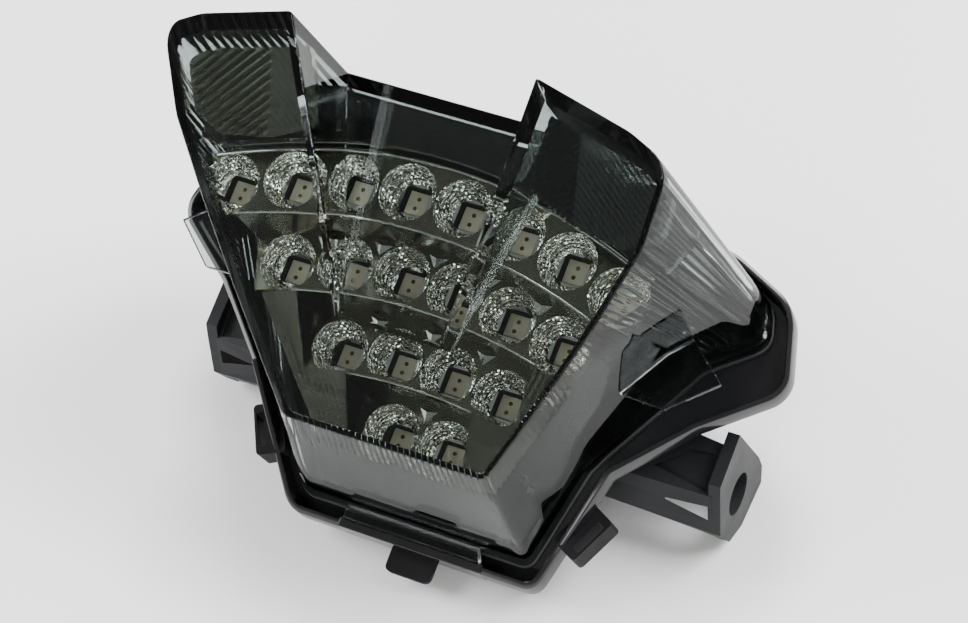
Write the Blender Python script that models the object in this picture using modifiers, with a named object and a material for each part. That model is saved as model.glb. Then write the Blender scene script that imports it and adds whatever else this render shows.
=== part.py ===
"""Motorcycle tail light with twenty LEDs in a deep, horned lens. Metres, +Z up.

Everything is drawn in the lamp's own frame: x across the lamp, y up the lamp as it is
fitted, z along the axis of the LEDs, out of the lens. The last step leans that frame back
so that the lamp lies on the rear edges of its two lugs and the foot of its housing.
"""

from math import atan2, cos, pi, sin, sqrt

import bmesh
import bpy
from mathutils import Matrix, Vector

# ---- clearances ------------------------------------------------------------------------
GAP = 0.0003                    # between pieces that touch
OVERLAP = 0.0007                # how far solids of one moulding run into each other

# ---- outlines: (x, y, corner radius) of the right half, from the bottom to the top -----
# Every outline has the same corners, so that the walls between them are ruled.
FACE = [(0.0304, -0.0319, 0.004), (0.0480, -0.0057, 0.0), (0.0575, 0.0095, 0.010),
        (0.0668, 0.0260, 0.010), (0.0713, 0.0435, 0.006), (0.0600, 0.0478, 0.020),
        (0.0352, 0.0529, 0.0)]
FOOT = [(0.0355, -0.0432, 0.005), (0.0513, -0.0108, 0.0), (0.0689, 0.0196, 0.012),
        (0.0837, 0.0310, 0.006), (0.0803, 0.0425, 0.009), (0.0675, 0.0490, 0.020),
        (0.0352, 0.0560, 0.0)]
RIM = [(0.0386, -0.0490, 0.0065), (0.0554, -0.0155, 0.0), (0.0729, 0.0031, 0.012),
       (0.0938, 0.0196, 0.009), (0.0870, 0.0432, 0.014), (0.0675, 0.0522, 0.020),
       (0.0352, 0.0597, 0.0)]
BACK = [(0.0315, -0.0400, 0.005), (0.0480, -0.0105, 0.0), (0.0565, 0.0040, 0.008),
        (0.0640, 0.0180, 0.008), (0.0640, 0.0370, 0.008), (0.0500, 0.0450, 0.012),
        (0.0320, 0.0490, 0.0)]
ARC_STEPS = 4

# ---- lens ------------------------------------------------------------------------------
FACE_SLOPE = 0.95               # rise of the face in z for each unit of y
FACE_LEVEL = 0.0365             # z of the face at y = 0
LENS_WALL = 0.0024
PANEL_WALL = LENS_WALL * 1.045  # measured along z
NOTCH_TIP = (0.0149, 0.0009)    # x of the blade at its tip, and the width of the edge
NOTCH_TOP = (0.0340, 0.0310)    # x of the blade's crest, and of the foot of its wall
PANEL_SLOPE = 0.303             # rise of the sunk middle panel
FIN_Z = 0.0058                  # shelf tab on each side of the lens
FIN_THICK = 0.0020
FIN = [(0.0440, 0.0030), (0.0588, 0.0014), (0.0693, 0.0011), (0.0814, 0.0119),
       (0.0700, 0.0215), (0.0640, 0.0190)]

# ---- housing ---------------------------------------------------------------------------
LIP_Z = -0.0149                 # level of the rim beside the wings
LIP_BEND_Y = -0.0162            # below this the rim runs down with the lens
LIP_SLOPE = 0.78
LIP_WIDTH = 0.0018
LIP_ROUND = 0.0006
CHANNEL_DEPTH = 0.0060
CHANNEL_FLOOR = 0.0025
SKIRT = 0.0160                  # height of the outer skirt
SKIRT_WALL = 0.0021
BACK_Z = -0.0500                # outside of the back
BACK_WALL = 0.0025
BACK_DRAFT = 0.0015
INNER_WALL = 0.0016
INNER_WALL_DROP = 0.0022        # its top, below the rim
SEAL_LOW, SEAL_HIGH = 0.0003, 0.0015    # above the channel floor
FOOT_CLEAR = 0.0024             # lens foot above the channel floor

TAB = (0.0140, 0.0068, 0.0020)  # bottom tab: width, reach, thickness
TAB_DROP = 0.0055               # below the rim
CLIP = (0.0150, 0.0052, 0.0090)         # loop beside the rim: length, reach, height
CLIP_SLOT = (0.0100, 0.0024)
CLIP_Y = -0.0300
CLIP_DROP = 0.0045

# ---- brackets --------------------------------------------------------------------------
LUG_X = 0.0805                  # outer face of each lug
LUG_PLATE = 0.0035
LUG_HOLE = (-0.0035, -0.0505)   # y, z of its centre
LUG_HOLE_RADIUS = 0.0063
LUG_REAR = (0.0053, -0.0689)    # the far end of the edge that the lamp lies on
LUG_REAR_LENGTH = 0.0141        # along y
ARM_TOP_CLEAR = 0.0006          # under the skirt
ARM_ROOT_X = 0.0340
ARM_HOLLOW_X = 0.0600

# ---- LEDs and their rows ---------------------------------------------------------------
ROWS = [8, 6, 4, 2]
LED_PITCH = 0.0162
LED_SIZE = (0.0058, 0.0064, 0.0019)
LED_CORNER = 0.0014
RIM_CLEAR = 0.0010              # top row's rim, below the inside of the sunk panel
ROW_STEP = 0.0172
ROW_Y = [0.0301, 0.0122, -0.0060, -0.0225]
LEDGE_Y = [0.0397, 0.0204, 0.0041, -0.0130, -0.0300]
ARCH = 3.4                      # each row sinks by ARCH * x * x
ARCH_CHORD = 0.0060             # in straight chords of this length along x
CUP_DEPTH = 0.0091
CUP_RADIUS = 0.47 * LED_PITCH
CUP_FLOOR_RADIUS = 0.0042
LED_HOLE_CLEAR = 0.0006
ROW_HALF = [(0.0610, 0.0650), (0.0462, 0.0510), (0.0318, 0.0350), (0.0175, 0.0190)]
WALL = 0.0015
BOARD = 0.0016
BOARD_HALF_Y = 0.0050
SIDE_RISE = 0.0170              # plain side areas at y = 0, above the third row's rim
SIDE_SLOPE = 1.02
SKIRT_EDGE = [(0.0270, -0.0300), (0.0456, -0.0029)]
SIDE_DEPTH = 0.0175

POSTS = [(0.0490, 0.0125), (0.0250, -0.0200)]
POST_RADIUS = 0.0028
SCREW_RADIUS = 0.0012
SCREW_HOLE = 0.0018
SCREW_HEAD = (0.0031, 0.0020)
SCREW_LENGTH = 0.0140

# ---- black bezel and horn reflectors ---------------------------------------------------
BEZEL_RISE = 0.0040             # above the top row's rim
BEZEL_THICK = 0.0018
BEZEL_HALF = 0.0620
BEZEL_WALL_Y = 0.0475
BEZEL_WALL = 0.0020
BEZEL_WALL_HALF = 0.0270
HORN_DROP = 0.0160              # below the face, measured along z
HORN_THICK = 0.0018
HORN = [(0.0340, 0.0350), (0.0450, 0.0310), (0.0590, 0.0295), (0.0652, 0.0345),
        (0.0648, 0.0395), (0.0590, 0.0435), (0.0400, 0.0485)]
PEGS = [(0.0430, 0.0390), (0.0560, 0.0360)]
PEG_RADIUS = 0.0018

# ---- rear fittings ---------------------------------------------------------------------
GLAND = (0.0, 0.0150)
GLAND_RADII = (0.0065, 0.0045)
GLAND_HEIGHT = 0.0060
VENT = (0.0, 0.0330)
VENT_RADII = (0.0050, 0.0026)
VENT_HEIGHT = 0.0030


# ---- scene helpers ---------------------------------------------------------------------
def clear():
    for obj in list(bpy.data.objects):
        bpy.data.objects.remove(obj, do_unlink=True)


def collection(name):
    made = bpy.data.collections.new(name)
    bpy.context.scene.collection.children.link(made)
    return made


clear()
PARTS = collection("tail_light")
CUTTERS = collection("cutters")


def material(name, colour, rough, metallic=0.0, alpha=1.0):
    mat = bpy.data.materials.new(name)
    mat.use_nodes = True
    shader = mat.node_tree.nodes["Principled BSDF"]
    shader.inputs["Base Color"].default_value = (*colour, 1.0)
    shader.inputs["Roughness"].default_value = rough
    shader.inputs["Metallic"].default_value = metallic
    shader.inputs["Alpha"].default_value = alpha
    return mat


def add(name, mesh, mat=None, cutter=False):
    obj = bpy.data.objects.new(name, mesh)
    (CUTTERS if cutter else PARTS).objects.link(obj)
    if cutter:
        obj.hide_render = True
        obj.display_type = "WIRE"
    if mat:
        mesh.materials.append(mat)
    return obj


def finish_mesh(bm, name):
    bmesh.ops.remove_doubles(bm, verts=bm.verts, dist=0.000001)
    bmesh.ops.recalc_face_normals(bm, faces=bm.faces)
    mesh = bpy.data.meshes.new(name)
    bm.to_mesh(mesh)
    bm.free()
    return mesh


def evaluated(obj):
    """The object's mesh with its modifiers on, or its curve turned into a mesh."""
    graph = bpy.context.evaluated_depsgraph_get()
    mesh = bpy.data.meshes.new_from_object(obj.evaluated_get(graph))
    bm = bmesh.new()
    bm.from_mesh(mesh)
    bm.transform(obj.matrix_world)
    bpy.data.meshes.remove(mesh)
    return finish_mesh(bm, obj.name)


def plate(name, points, low, high, holes=()):
    """A flat plate: a filled outline, with holes, from one z to another."""
    curve = bpy.data.curves.new(name, "CURVE")
    curve.dimensions = "2D"
    curve.fill_mode = "BOTH"
    curve.extrude = (high - low) / 2
    for loop in [points, *holes]:
        spline = curve.splines.new("POLY")
        spline.points.add(len(loop) - 1)
        spline.use_cyclic_u = True
        for point, (x, y) in zip(spline.points, loop):
            point.co = (x, y, 0.0, 1.0)
    obj = bpy.data.objects.new(name, curve)
    CUTTERS.objects.link(obj)
    obj.location.z = (low + high) / 2
    bpy.context.view_layer.update()
    mesh = evaluated(obj)
    bpy.data.objects.remove(obj)
    return mesh


def turned(name, profile, steps):
    """A solid of revolution about z; the profile starts and ends on the axis."""
    bm = bmesh.new()
    verts = [bm.verts.new((r, 0.0, z)) for r, z in profile]
    for a, b in zip(verts, verts[1:]):
        bm.edges.new((a, b))
    mesh = bpy.data.meshes.new(name)
    bm.to_mesh(mesh)
    bm.free()
    obj = add(name, mesh, cutter=True)
    screw = obj.modifiers.new("turn", "SCREW")
    screw.steps = screw.render_steps = steps
    screw.use_merge_vertices = True
    screw.merge_threshold = 0.00001
    bpy.context.view_layer.update()
    made = evaluated(obj)
    bpy.data.objects.remove(obj)
    return made


def joined(name, pieces):
    """One mesh from (mesh, matrix) pairs."""
    bm = bmesh.new()
    for mesh, matrix in pieces:
        old = len(bm.verts)
        bm.from_mesh(mesh)
        bm.verts.ensure_lookup_table()
        bmesh.ops.transform(bm, matrix=matrix, verts=bm.verts[old:])
    return finish_mesh(bm, name)


def moved(mesh, matrix):
    return joined(mesh.name, [(mesh, matrix)])


def loft(name, rings, cap_ends=True, cap=None):
    """Walls between rings of equal length; the ends are closed by cap or left to wrap."""
    bm = bmesh.new()
    rows = [[bm.verts.new(point) for point in ring] for ring in rings]
    count = len(rows[0])
    pairs = list(zip(rows, rows[1:])) + ([] if cap_ends else [(rows[-1], rows[0])])
    for low, high in pairs:
        for i in range(count):
            j = (i + 1) % count
            bm.faces.new((low[i], low[j], high[j], high[i]))
    if cap_ends:
        for row in (rows[0], rows[-1]):
            (cap or face_cap)(bm, row)
    return finish_mesh(bm, name)


def face_cap(bm, row):
    bm.faces.new(row)


def ladder_cap(bm, row):
    """Closes a loop that is symmetric about x = 0 with rungs from side to side."""
    half = len(row) // 2
    for i in range(half - 1):
        bm.faces.new((row[i], row[i + 1], row[-2 - i], row[-1 - i]))


def boolean(target, cutter, operation="DIFFERENCE"):
    mod = target.modifiers.new(cutter.name, "BOOLEAN")
    mod.operation = operation
    mod.solver = "EXACT"
    mod.object = cutter
    return target


def cut(target, name, mesh, operation="DIFFERENCE"):
    return boolean(target, add(name, mesh, cutter=True), operation)


def bevel(obj, width, segments=2, angle=0.6):
    mod = obj.modifiers.new("edges", "BEVEL")
    mod.width = width
    mod.segments = segments
    mod.limit_method = "ANGLE"
    mod.angle_limit = angle


def smooth(obj):
    for polygon in obj.data.polygons:
        polygon.use_smooth = True


def disc(radius, steps, centre=(0.0, 0.0)):
    return [(centre[0] + radius * cos(2 * pi * i / steps),
             centre[1] + radius * sin(2 * pi * i / steps)) for i in range(steps)]


def mirror_x(points):
    return [(-x, y) for x, y in reversed(points)]


# ---- outlines --------------------------------------------------------------------------
def inset(corners, distance):
    """The same outline, moved inwards; arcs keep their centres while they can."""
    whole = corners + [(-x, y, r) for x, y, r in reversed(corners)]
    count = len(whole)
    result = []
    for i in range(len(corners)):
        x, y, radius = whole[i]
        before = Vector((x - whole[i - 1][0], y - whole[i - 1][1])).normalized()
        after = Vector((whole[(i + 1) % count][0] - x, whole[(i + 1) % count][1] - y)).normalized()
        n1 = Vector((-before.y, before.x))
        n2 = Vector((-after.y, after.x))
        shift = (n1 + n2) * (distance / (1.0 + n1.dot(n2)))
        turn = before.x * after.y - before.y * after.x
        grown = radius - distance if turn > 0 else radius + distance
        result.append((x + shift.x, y + shift.y, max(grown, 0.001) if radius else 0.0))
    return result


def rounded(before, corner, after, radius):
    """Points of the arc that rounds one corner, or the corner itself."""
    if not radius:
        return [(corner.x, corner.y)]
    to_a = (before - corner).normalized()
    to_b = (after - corner).normalized()
    half = to_a.angle(to_b) / 2
    reach = radius / abs(sin(half) / cos(half))
    centre = corner + (to_a + to_b).normalized() * (radius / sin(half))
    start = corner + to_a * reach - centre
    sweep = start.angle_signed(corner + to_b * reach - centre)
    points = []
    for i in range(ARC_STEPS + 1):
        spoke = start.copy()
        spoke.rotate(Matrix.Rotation(-sweep * i / ARC_STEPS, 2))
        points.append((centre.x + spoke.x, centre.y + spoke.y))
    return points


def column(corners):
    """The right side of an outline, bottom to top: rounded corners, a point at the bend."""
    places = [Vector((-corners[0][0], corners[0][1]))]
    places += [Vector((x, y)) for x, y, _ in corners]
    places.append(Vector((-corners[-1][0], corners[-1][1])))
    points = []
    for i, (_, _, radius) in enumerate(corners):
        points += rounded(places[i], places[i + 1], places[i + 2], radius)
    above = next(i for i, point in enumerate(points) if point[1] > LIP_BEND_Y)
    (x0, y0), (x1, y1) = points[above - 1], points[above]
    share = (LIP_BEND_Y - y0) / (y1 - y0)
    points.insert(above, (x0 + share * (x1 - x0), LIP_BEND_Y))
    return points


def loop(corners, height):
    """A whole outline as 3-D points, with z from height(y)."""
    side = column(corners)
    return [(x, y, height(y)) for x, y in side + mirror_x(side)]


def lip(y):
    return LIP_Z - LIP_SLOPE * max(0.0, LIP_BEND_Y - y)


def below_lip(drop):
    return lambda y: lip(y) - drop


def level(z):
    return lambda y: z


def face_z(y):
    return FACE_LEVEL + FACE_SLOPE * y


NOTCH_TIP_Y = FACE[1][1]
NOTCH_TOP_Y = FACE[-1][1]


def panel_z(y):
    return face_z(NOTCH_TIP_Y) + PANEL_SLOPE * (y - NOTCH_TIP_Y)


# ---- resting plane ---------------------------------------------------------------------
HEEL_Y = RIM[0][1] + (SKIRT_WALL - 0.0011)
HEEL_Z = lip(HEEL_Y) - SKIRT
REST_SLOPE = (LUG_REAR[1] - HEEL_Z) / (LUG_REAR[0] - HEEL_Y)
TILT = atan2(-REST_SLOPE, 1.0)


def rest_z(y):
    return HEEL_Z + REST_SLOPE * (y - HEEL_Y)


# ---- housing ---------------------------------------------------------------------------
def housing(mat):
    floor = CHANNEL_DEPTH
    inner = LENS_WALL + 0.0009
    rings = [
        loop(inset(BACK, BACK_DRAFT), level(BACK_Z)),
        loop(BACK, below_lip(floor + CHANNEL_FLOOR)),
        loop(inset(RIM, SKIRT_WALL + 0.0015), below_lip(floor + CHANNEL_FLOOR)),
        loop(inset(RIM, SKIRT_WALL + 0.0011), below_lip(SKIRT)),
        loop(inset(RIM, SKIRT_WALL - 0.0011), below_lip(SKIRT)),
        loop(RIM, below_lip(LIP_ROUND)),
        loop(inset(RIM, LIP_ROUND * 0.3), below_lip(LIP_ROUND * 0.3)),
        loop(inset(RIM, LIP_ROUND), lip),
        loop(inset(RIM, LIP_WIDTH - LIP_ROUND * 0.5), lip),
        loop(inset(RIM, LIP_WIDTH), below_lip(LIP_ROUND * 0.5)),
        loop(inset(RIM, LIP_WIDTH + 0.0008), below_lip(floor)),
        loop(inset(FOOT, inner), below_lip(floor)),
        loop(inset(FOOT, inner + 0.0001), below_lip(INNER_WALL_DROP)),
        loop(inset(FOOT, inner + INNER_WALL), below_lip(INNER_WALL_DROP)),
        loop(inset(FOOT, inner + INNER_WALL + 0.0002), below_lip(floor)),
        loop(inset(BACK, BACK_WALL - 0.0003), below_lip(floor)),
        loop(inset(BACK, BACK_WALL + BACK_DRAFT), level(BACK_Z + BACK_WALL)),
    ]
    body = add("rear_housing", loft("rear_housing", rings, cap=ladder_cap), mat)
    cut(body, "tab_add", bottom_tab(), "UNION")
    for side in (1, -1):
        cut(body, f"clip_add_{side}", clip_loop(side), "UNION")
    holes = [(side * x, y) for x, y in POSTS for side in (1, -1)]
    for i, place in enumerate(holes):
        mesh = plate("hole", disc(SCREW_HOLE, 12, place), BACK_Z - 0.004, BACK_Z + 0.005)
        cut(body, f"screw_hole_{i}", mesh)
    for name, place, radius in (("gland_hole", GLAND, GLAND_RADII[1] + GAP),
                                ("vent_hole", VENT, VENT_RADII[1] + GAP)):
        mesh = plate(name, disc(radius, 20, place), BACK_Z - 0.004, BACK_Z + 0.005)
        cut(body, name, mesh)
    return body


def bottom_tab():
    width, reach, thick = TAB
    top = lip(RIM[0][1]) - TAB_DROP
    bottom = RIM[0][1] - reach
    chamfer = 0.002
    points = [(-width / 2, RIM[0][1] + 0.0012), (-width / 2, bottom + chamfer),
              (-width / 2 + chamfer, bottom), (width / 2 - chamfer, bottom),
              (width / 2, bottom + chamfer), (width / 2, RIM[0][1] + 0.0012)]
    return plate("tab", points, top - thick, top)


def clip_loop(side):
    """A small loop on the lower side of the skirt, open along z."""
    length, reach, height = CLIP
    slot_length, slot = CLIP_SLOT
    (x0, y0, _), (x1, y1, _) = RIM[0], RIM[1]
    share = (CLIP_Y - y0) / (y1 - y0)
    along = Vector((x1 - x0, y1 - y0)).normalized()
    out = Vector((along.y, -along.x))
    base = Vector((x0 + share * (x1 - x0), CLIP_Y))

    def at(a, b):
        point = base + along * a + out * b
        return (side * point.x, point.y)

    top = lip(CLIP_Y) - CLIP_DROP
    chamfer = 0.0012
    outer = [at(-length / 2, -0.0012), at(-length / 2, reach - chamfer),
             at(-length / 2 + chamfer, reach), at(length / 2 - chamfer, reach),
             at(length / 2, reach - chamfer), at(length / 2, -0.0012)]
    inner_low, inner_high = reach - 0.0014 - slot, reach - 0.0014
    hole = [at(-slot_length / 2, inner_low), at(-slot_length / 2, inner_high),
            at(slot_length / 2, inner_high), at(slot_length / 2, inner_low)]
    return plate("clip", outer, top - height, top, [hole])


# ---- brackets --------------------------------------------------------------------------
def bracket(name, side, mat):
    top = below_lip(SKIRT + ARM_TOP_CLEAR)(0.0)
    hole_y, hole_z = LUG_HOLE
    rear_low = LUG_REAR[0] - LUG_REAR_LENGTH
    profile = [(0.0085, top), (0.0096, hole_z - 0.0073), (0.0089, hole_z - 0.0132),
               LUG_REAR, (rear_low, rest_z(rear_low)),
               (-0.0154, hole_z - 0.0089), (-0.0166, hole_z + 0.0019), (-0.0095, top - 0.004),
               (-0.0070, top)]
    lug = plate(name, profile, 0.0, LUG_PLATE, [disc(LUG_HOLE_RADIUS, 28, LUG_HOLE)])
    to_side = Matrix(((0, 0, side, 0), (1, 0, 0, 0), (0, 1, 0, 0), (0, 0, 0, 1)))
    out = Matrix.Translation((side * (LUG_X - LUG_PLATE), 0, 0))
    body = add(name, moved(lug, out @ to_side), mat)
    arm_end = [(0.0052, top - 0.0030), (-0.0095, top - 0.0038), (-0.0166, hole_z + 0.0019),
               (-0.0154, hole_z - 0.0075), (0.0068, hole_z - 0.0085)]
    arm_root = [(0.0090, top), (-0.0110, top), (-0.0170, top - 0.0090),
                (-0.0150, BACK_Z), (0.0080, BACK_Z)]
    root = [(side * ARM_ROOT_X, y, z) for y, z in arm_root]
    end = [(side * (LUG_X - LUG_PLATE + OVERLAP), y, z) for y, z in arm_end]
    cut(body, f"{name}_arm", loft(f"{name}_arm", [root, end]), "UNION")
    wall = inset(BACK, -GAP)
    shell = [loop(inset(wall, BACK_DRAFT), level(BACK_Z - 0.0001)),
             loop(wall, below_lip(CHANNEL_DEPTH + CHANNEL_FLOOR))]
    low = [(x, y, BACK_Z - 0.02) for x, y, _ in shell[0]]
    cut(body, f"{name}_fit", loft(f"{name}_fit", [low, *shell], cap=ladder_cap))
    bore = plate("bore", disc(LUG_HOLE_RADIUS, 28, LUG_HOLE), -0.009, LUG_PLATE + 0.002)
    cut(body, f"{name}_bore", moved(bore, out @ to_side))
    cut(body, f"{name}_recess", arm_recess(side, top))
    cut(body, f"{name}_hollow", arm_hollow(side))
    return body


def arm_recess(side, top):
    """The triangular pocket in the front of the arm, beside the lug."""
    points = [(side * 0.0600, -0.0060), (side * (LUG_X - LUG_PLATE - 0.0012), -0.0085),
              (side * (LUG_X - LUG_PLATE - 0.0012), 0.0022), (side * 0.0690, 0.0015)]
    return plate("recess", points, top - 0.0040, top + 0.004)


def arm_hollow(side):
    """The hollow in the back of the arm, open to the rear, that the lug's hole leads into."""
    inner, outer = side * ARM_HOLLOW_X, side * (LUG_X - LUG_PLATE - 0.0002)
    points = [(inner, -0.0125), (outer, -0.0142), (outer, 0.0034), (inner, 0.0052)]
    return plate("hollow", points, LUG_REAR[1] - 0.01, LUG_HOLE[1] + LUG_HOLE_RADIUS + 0.0050)


# ---- lens ------------------------------------------------------------------------------
def blade_x(y):
    """x of the blade's edge and of the foot of its inner wall."""
    share = max(0.0, (y - NOTCH_TIP_Y) / (NOTCH_TOP_Y - NOTCH_TIP_Y))
    ridge = NOTCH_TIP[0] + share * (NOTCH_TOP[0] - NOTCH_TIP[0])
    foot = NOTCH_TIP[0] - NOTCH_TIP[1] + share * (NOTCH_TOP[1] - NOTCH_TIP[0] + NOTCH_TIP[1])
    return ridge, foot


def front_rows(corners, drop, panel_drop, side_step):
    """Rows of points across the front, from the bottom edge to the crest."""
    rows = []
    for x, y in column(corners):
        ridge, foot = blade_x(y)
        z = face_z(y) - drop
        sunk = min(z, panel_z(y) - panel_drop)
        half = [(x, y, z), (ridge + side_step, y, z), (foot + side_step, y, sunk)]
        middle = [(0.0, y, sunk)]
        rows.append(half + middle + [(-a, b, c) for a, b, c in reversed(half)])
    return rows


def edge_loop(rows):
    """The border of the rows: up the right side, over the top, down the left."""
    right = [row[0] for row in rows]
    left = [row[-1] for row in reversed(rows)]
    return right + rows[-1][1:-1] + left + list(reversed(rows[0][1:-1]))


def foot_loop(corners, rows, height):
    """A plan loop with as many points as edge_loop, at the foot of the wall."""
    side = column(corners)
    across = [side[-1][0] * point[0] / rows[-1][0][0] for point in rows[-1][1:-1]]
    under = [side[0][0] * point[0] / rows[0][0][0] for point in rows[0][1:-1]]
    plan = side + [(x, side[-1][1]) for x in across]
    plan += mirror_x(side) + [(x, side[0][1]) for x in reversed(under)]
    return [(x, y, height(y)) for x, y in plan]


def lens(mat):
    foot_drop = CHANNEL_DEPTH - FOOT_CLEAR
    wall_drop = LENS_WALL * sqrt(1 + FACE_SLOPE ** 2)
    outer = front_rows(FACE, 0.0, 0.0, 0.0)
    inner = front_rows(inset(FACE, LENS_WALL), wall_drop, PANEL_WALL, LENS_WALL)
    rings = [edge_loop(outer), foot_loop(FOOT, outer, below_lip(foot_drop)),
             foot_loop(inset(FOOT, LENS_WALL), inner, below_lip(foot_drop)), edge_loop(inner)]
    bm = bmesh.new()
    for low, high in zip(rings, rings[1:]):
        lows = [bm.verts.new(p) for p in low]
        highs = [bm.verts.new(p) for p in high]
        for i in range(len(lows)):
            j = (i + 1) % len(lows)
            bm.faces.new((lows[i], lows[j], highs[j], highs[i]))
    for rows in (outer, inner):
        grid = [[bm.verts.new(p) for p in row] for row in rows]
        for low, high in zip(grid, grid[1:]):
            for i in range(len(low) - 1):
                bm.faces.new((low[i], low[i + 1], high[i + 1], high[i]))
    body = add("outer_lens", finish_mesh(bm, "outer_lens"), mat)
    hollow = add("lens_room", loft("lens_room", list(room()), cap=ladder_cap), cutter=True)
    for side in (1, -1):
        points = [(side * x, y) for x, y in FIN]
        mesh = plate("fin", points, FIN_Z - FIN_THICK, FIN_Z)
        tab = boolean(add(f"fin_add_{side}", mesh, cutter=True), hollow)
        boolean(body, tab, "UNION")
    return body


def room():
    """The hollow of the lens with half its wall, to trim the side tabs."""
    inner = inset(FACE, LENS_WALL / 2)
    foot = inset(FOOT, LENS_WALL / 2)
    high = 0.010
    low = -0.004
    for z in (low, high):
        ring = []
        for (fx, fy), (bx, by) in zip(column(inner), column(foot)):
            top_z = face_z(fy)
            foot_z = lip(by) - CHANNEL_DEPTH + FOOT_CLEAR
            share = (top_z - z) / (top_z - foot_z)
            ring.append((fx + share * (bx - fx), fy + share * (by - fy)))
        yield [(x, y, z) for x, y in ring + mirror_x(ring)]


def seal(mat):
    low = below_lip(CHANNEL_DEPTH - SEAL_LOW)
    high = below_lip(CHANNEL_DEPTH - SEAL_HIGH)
    outside, inside = inset(FOOT, -0.0003), inset(FOOT, LENS_WALL + 0.0002)
    rings = [loop(outside, low), loop(outside, high), loop(inside, high), loop(inside, low)]
    body = add("lens_seal", loft("lens_seal", rings, cap_ends=False), mat)
    smooth(body)
    return body


# ---- reflector -------------------------------------------------------------------------
def sag(x):
    """How far a row has sunk at x: the parabola ARCH * x * x in straight chords."""
    low = int(abs(x) / ARCH_CHORD) * ARCH_CHORD
    high = low + ARCH_CHORD
    share = (abs(x) - low) / ARCH_CHORD
    return ARCH * (low * low * (1 - share) + high * high * share)


def arch(start, end, y):
    """Points of one arch from x = start to x = end, with a point at each chord's end."""
    low, high = min(start, end), max(start, end)
    first = int(low / ARCH_CHORD) - 2
    knots = [ARCH_CHORD * (first + i) for i in range(int((high - low) / ARCH_CHORD) + 5)]
    inside = [x for x in knots if low + 0.0003 < x < high - 0.0003]
    xs = [low, *inside, high]
    if start > end:
        xs.reverse()
    return [(x, y - sag(x)) for x in xs]


def led_places(row):
    count = ROWS[row]
    places = []
    for i in range(count):
        x = (i - (count - 1) / 2) * LED_PITCH
        places.append((x, ROW_Y[row] - ARCH * x * x))
    return places


def row_rim(row):
    """z of a row's front: the top row just clears the sunk panel of the lens."""
    inside_of_panel = panel_z(LEDGE_Y[1]) - PANEL_WALL
    return inside_of_panel - RIM_CLEAR - ROW_STEP * row


def led_z(row):
    return row_rim(row) - CUP_DEPTH


def arch_band(halves, low, high, grow=0.0):
    """The plan of a row: two arches with straight ends; halves are the half widths."""
    under, over = halves[0] + grow, halves[1] + grow
    return arch(-under, under, low) + arch(over, -over, high)


def side_plane(y):
    return row_rim(2) + SIDE_RISE + SIDE_SLOPE * y


def side_piece(side):
    """The plain sloping area beside the lower two rows, stepped where it meets them."""
    (x0, y0), (x1, y1) = SKIRT_EDGE
    plan = [(ROW_HALF[3][0], y0), (x0, y0), (x1, y1)]
    plan += arch(x1 - 0.0004, ROW_HALF[2][1], LEDGE_Y[2] + OVERLAP)
    plan += arch(ROW_HALF[2][0], ROW_HALF[3][1], LEDGE_Y[3] + OVERLAP)
    top = [(side * x, y, side_plane(y)) for x, y in plan]
    bottom = [(x, y, z - SIDE_DEPTH) for x, y, z in top]
    return loft("side", [bottom, top])


def cup():
    """The hollow of one cup, with its mouth at z = CUP_DEPTH and the LED's face at 0."""
    profile = [(0.0, CUP_DEPTH + 0.002), (CUP_RADIUS, CUP_DEPTH + 0.002), (CUP_RADIUS, CUP_DEPTH)]
    steps = 5
    for i in range(1, steps + 1):
        z = CUP_DEPTH * (1 - i / steps)
        share = sqrt(z / CUP_DEPTH)
        profile.append((CUP_FLOOR_RADIUS + (CUP_RADIUS - CUP_FLOOR_RADIUS) * share, z))
    profile.append((0.0, 0.0))
    return turned("cup", profile, 20)


def clear_of_lens():
    """The space inside the lens and the housing's inner wall, to trim the reflector."""
    foot = inset(FOOT, LENS_WALL + INNER_WALL + 0.0013)
    face_drop = LENS_WALL * sqrt(1 + FACE_SLOPE ** 2) + 0.0010
    front = inset(FACE, LENS_WALL + 0.0010)
    rings = [loop(foot, level(BACK_Z)), loop(foot, lip), loop(front, lambda y: face_z(y) - face_drop)]
    return loft("inside_of_lens", rings, cap=ladder_cap)


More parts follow.
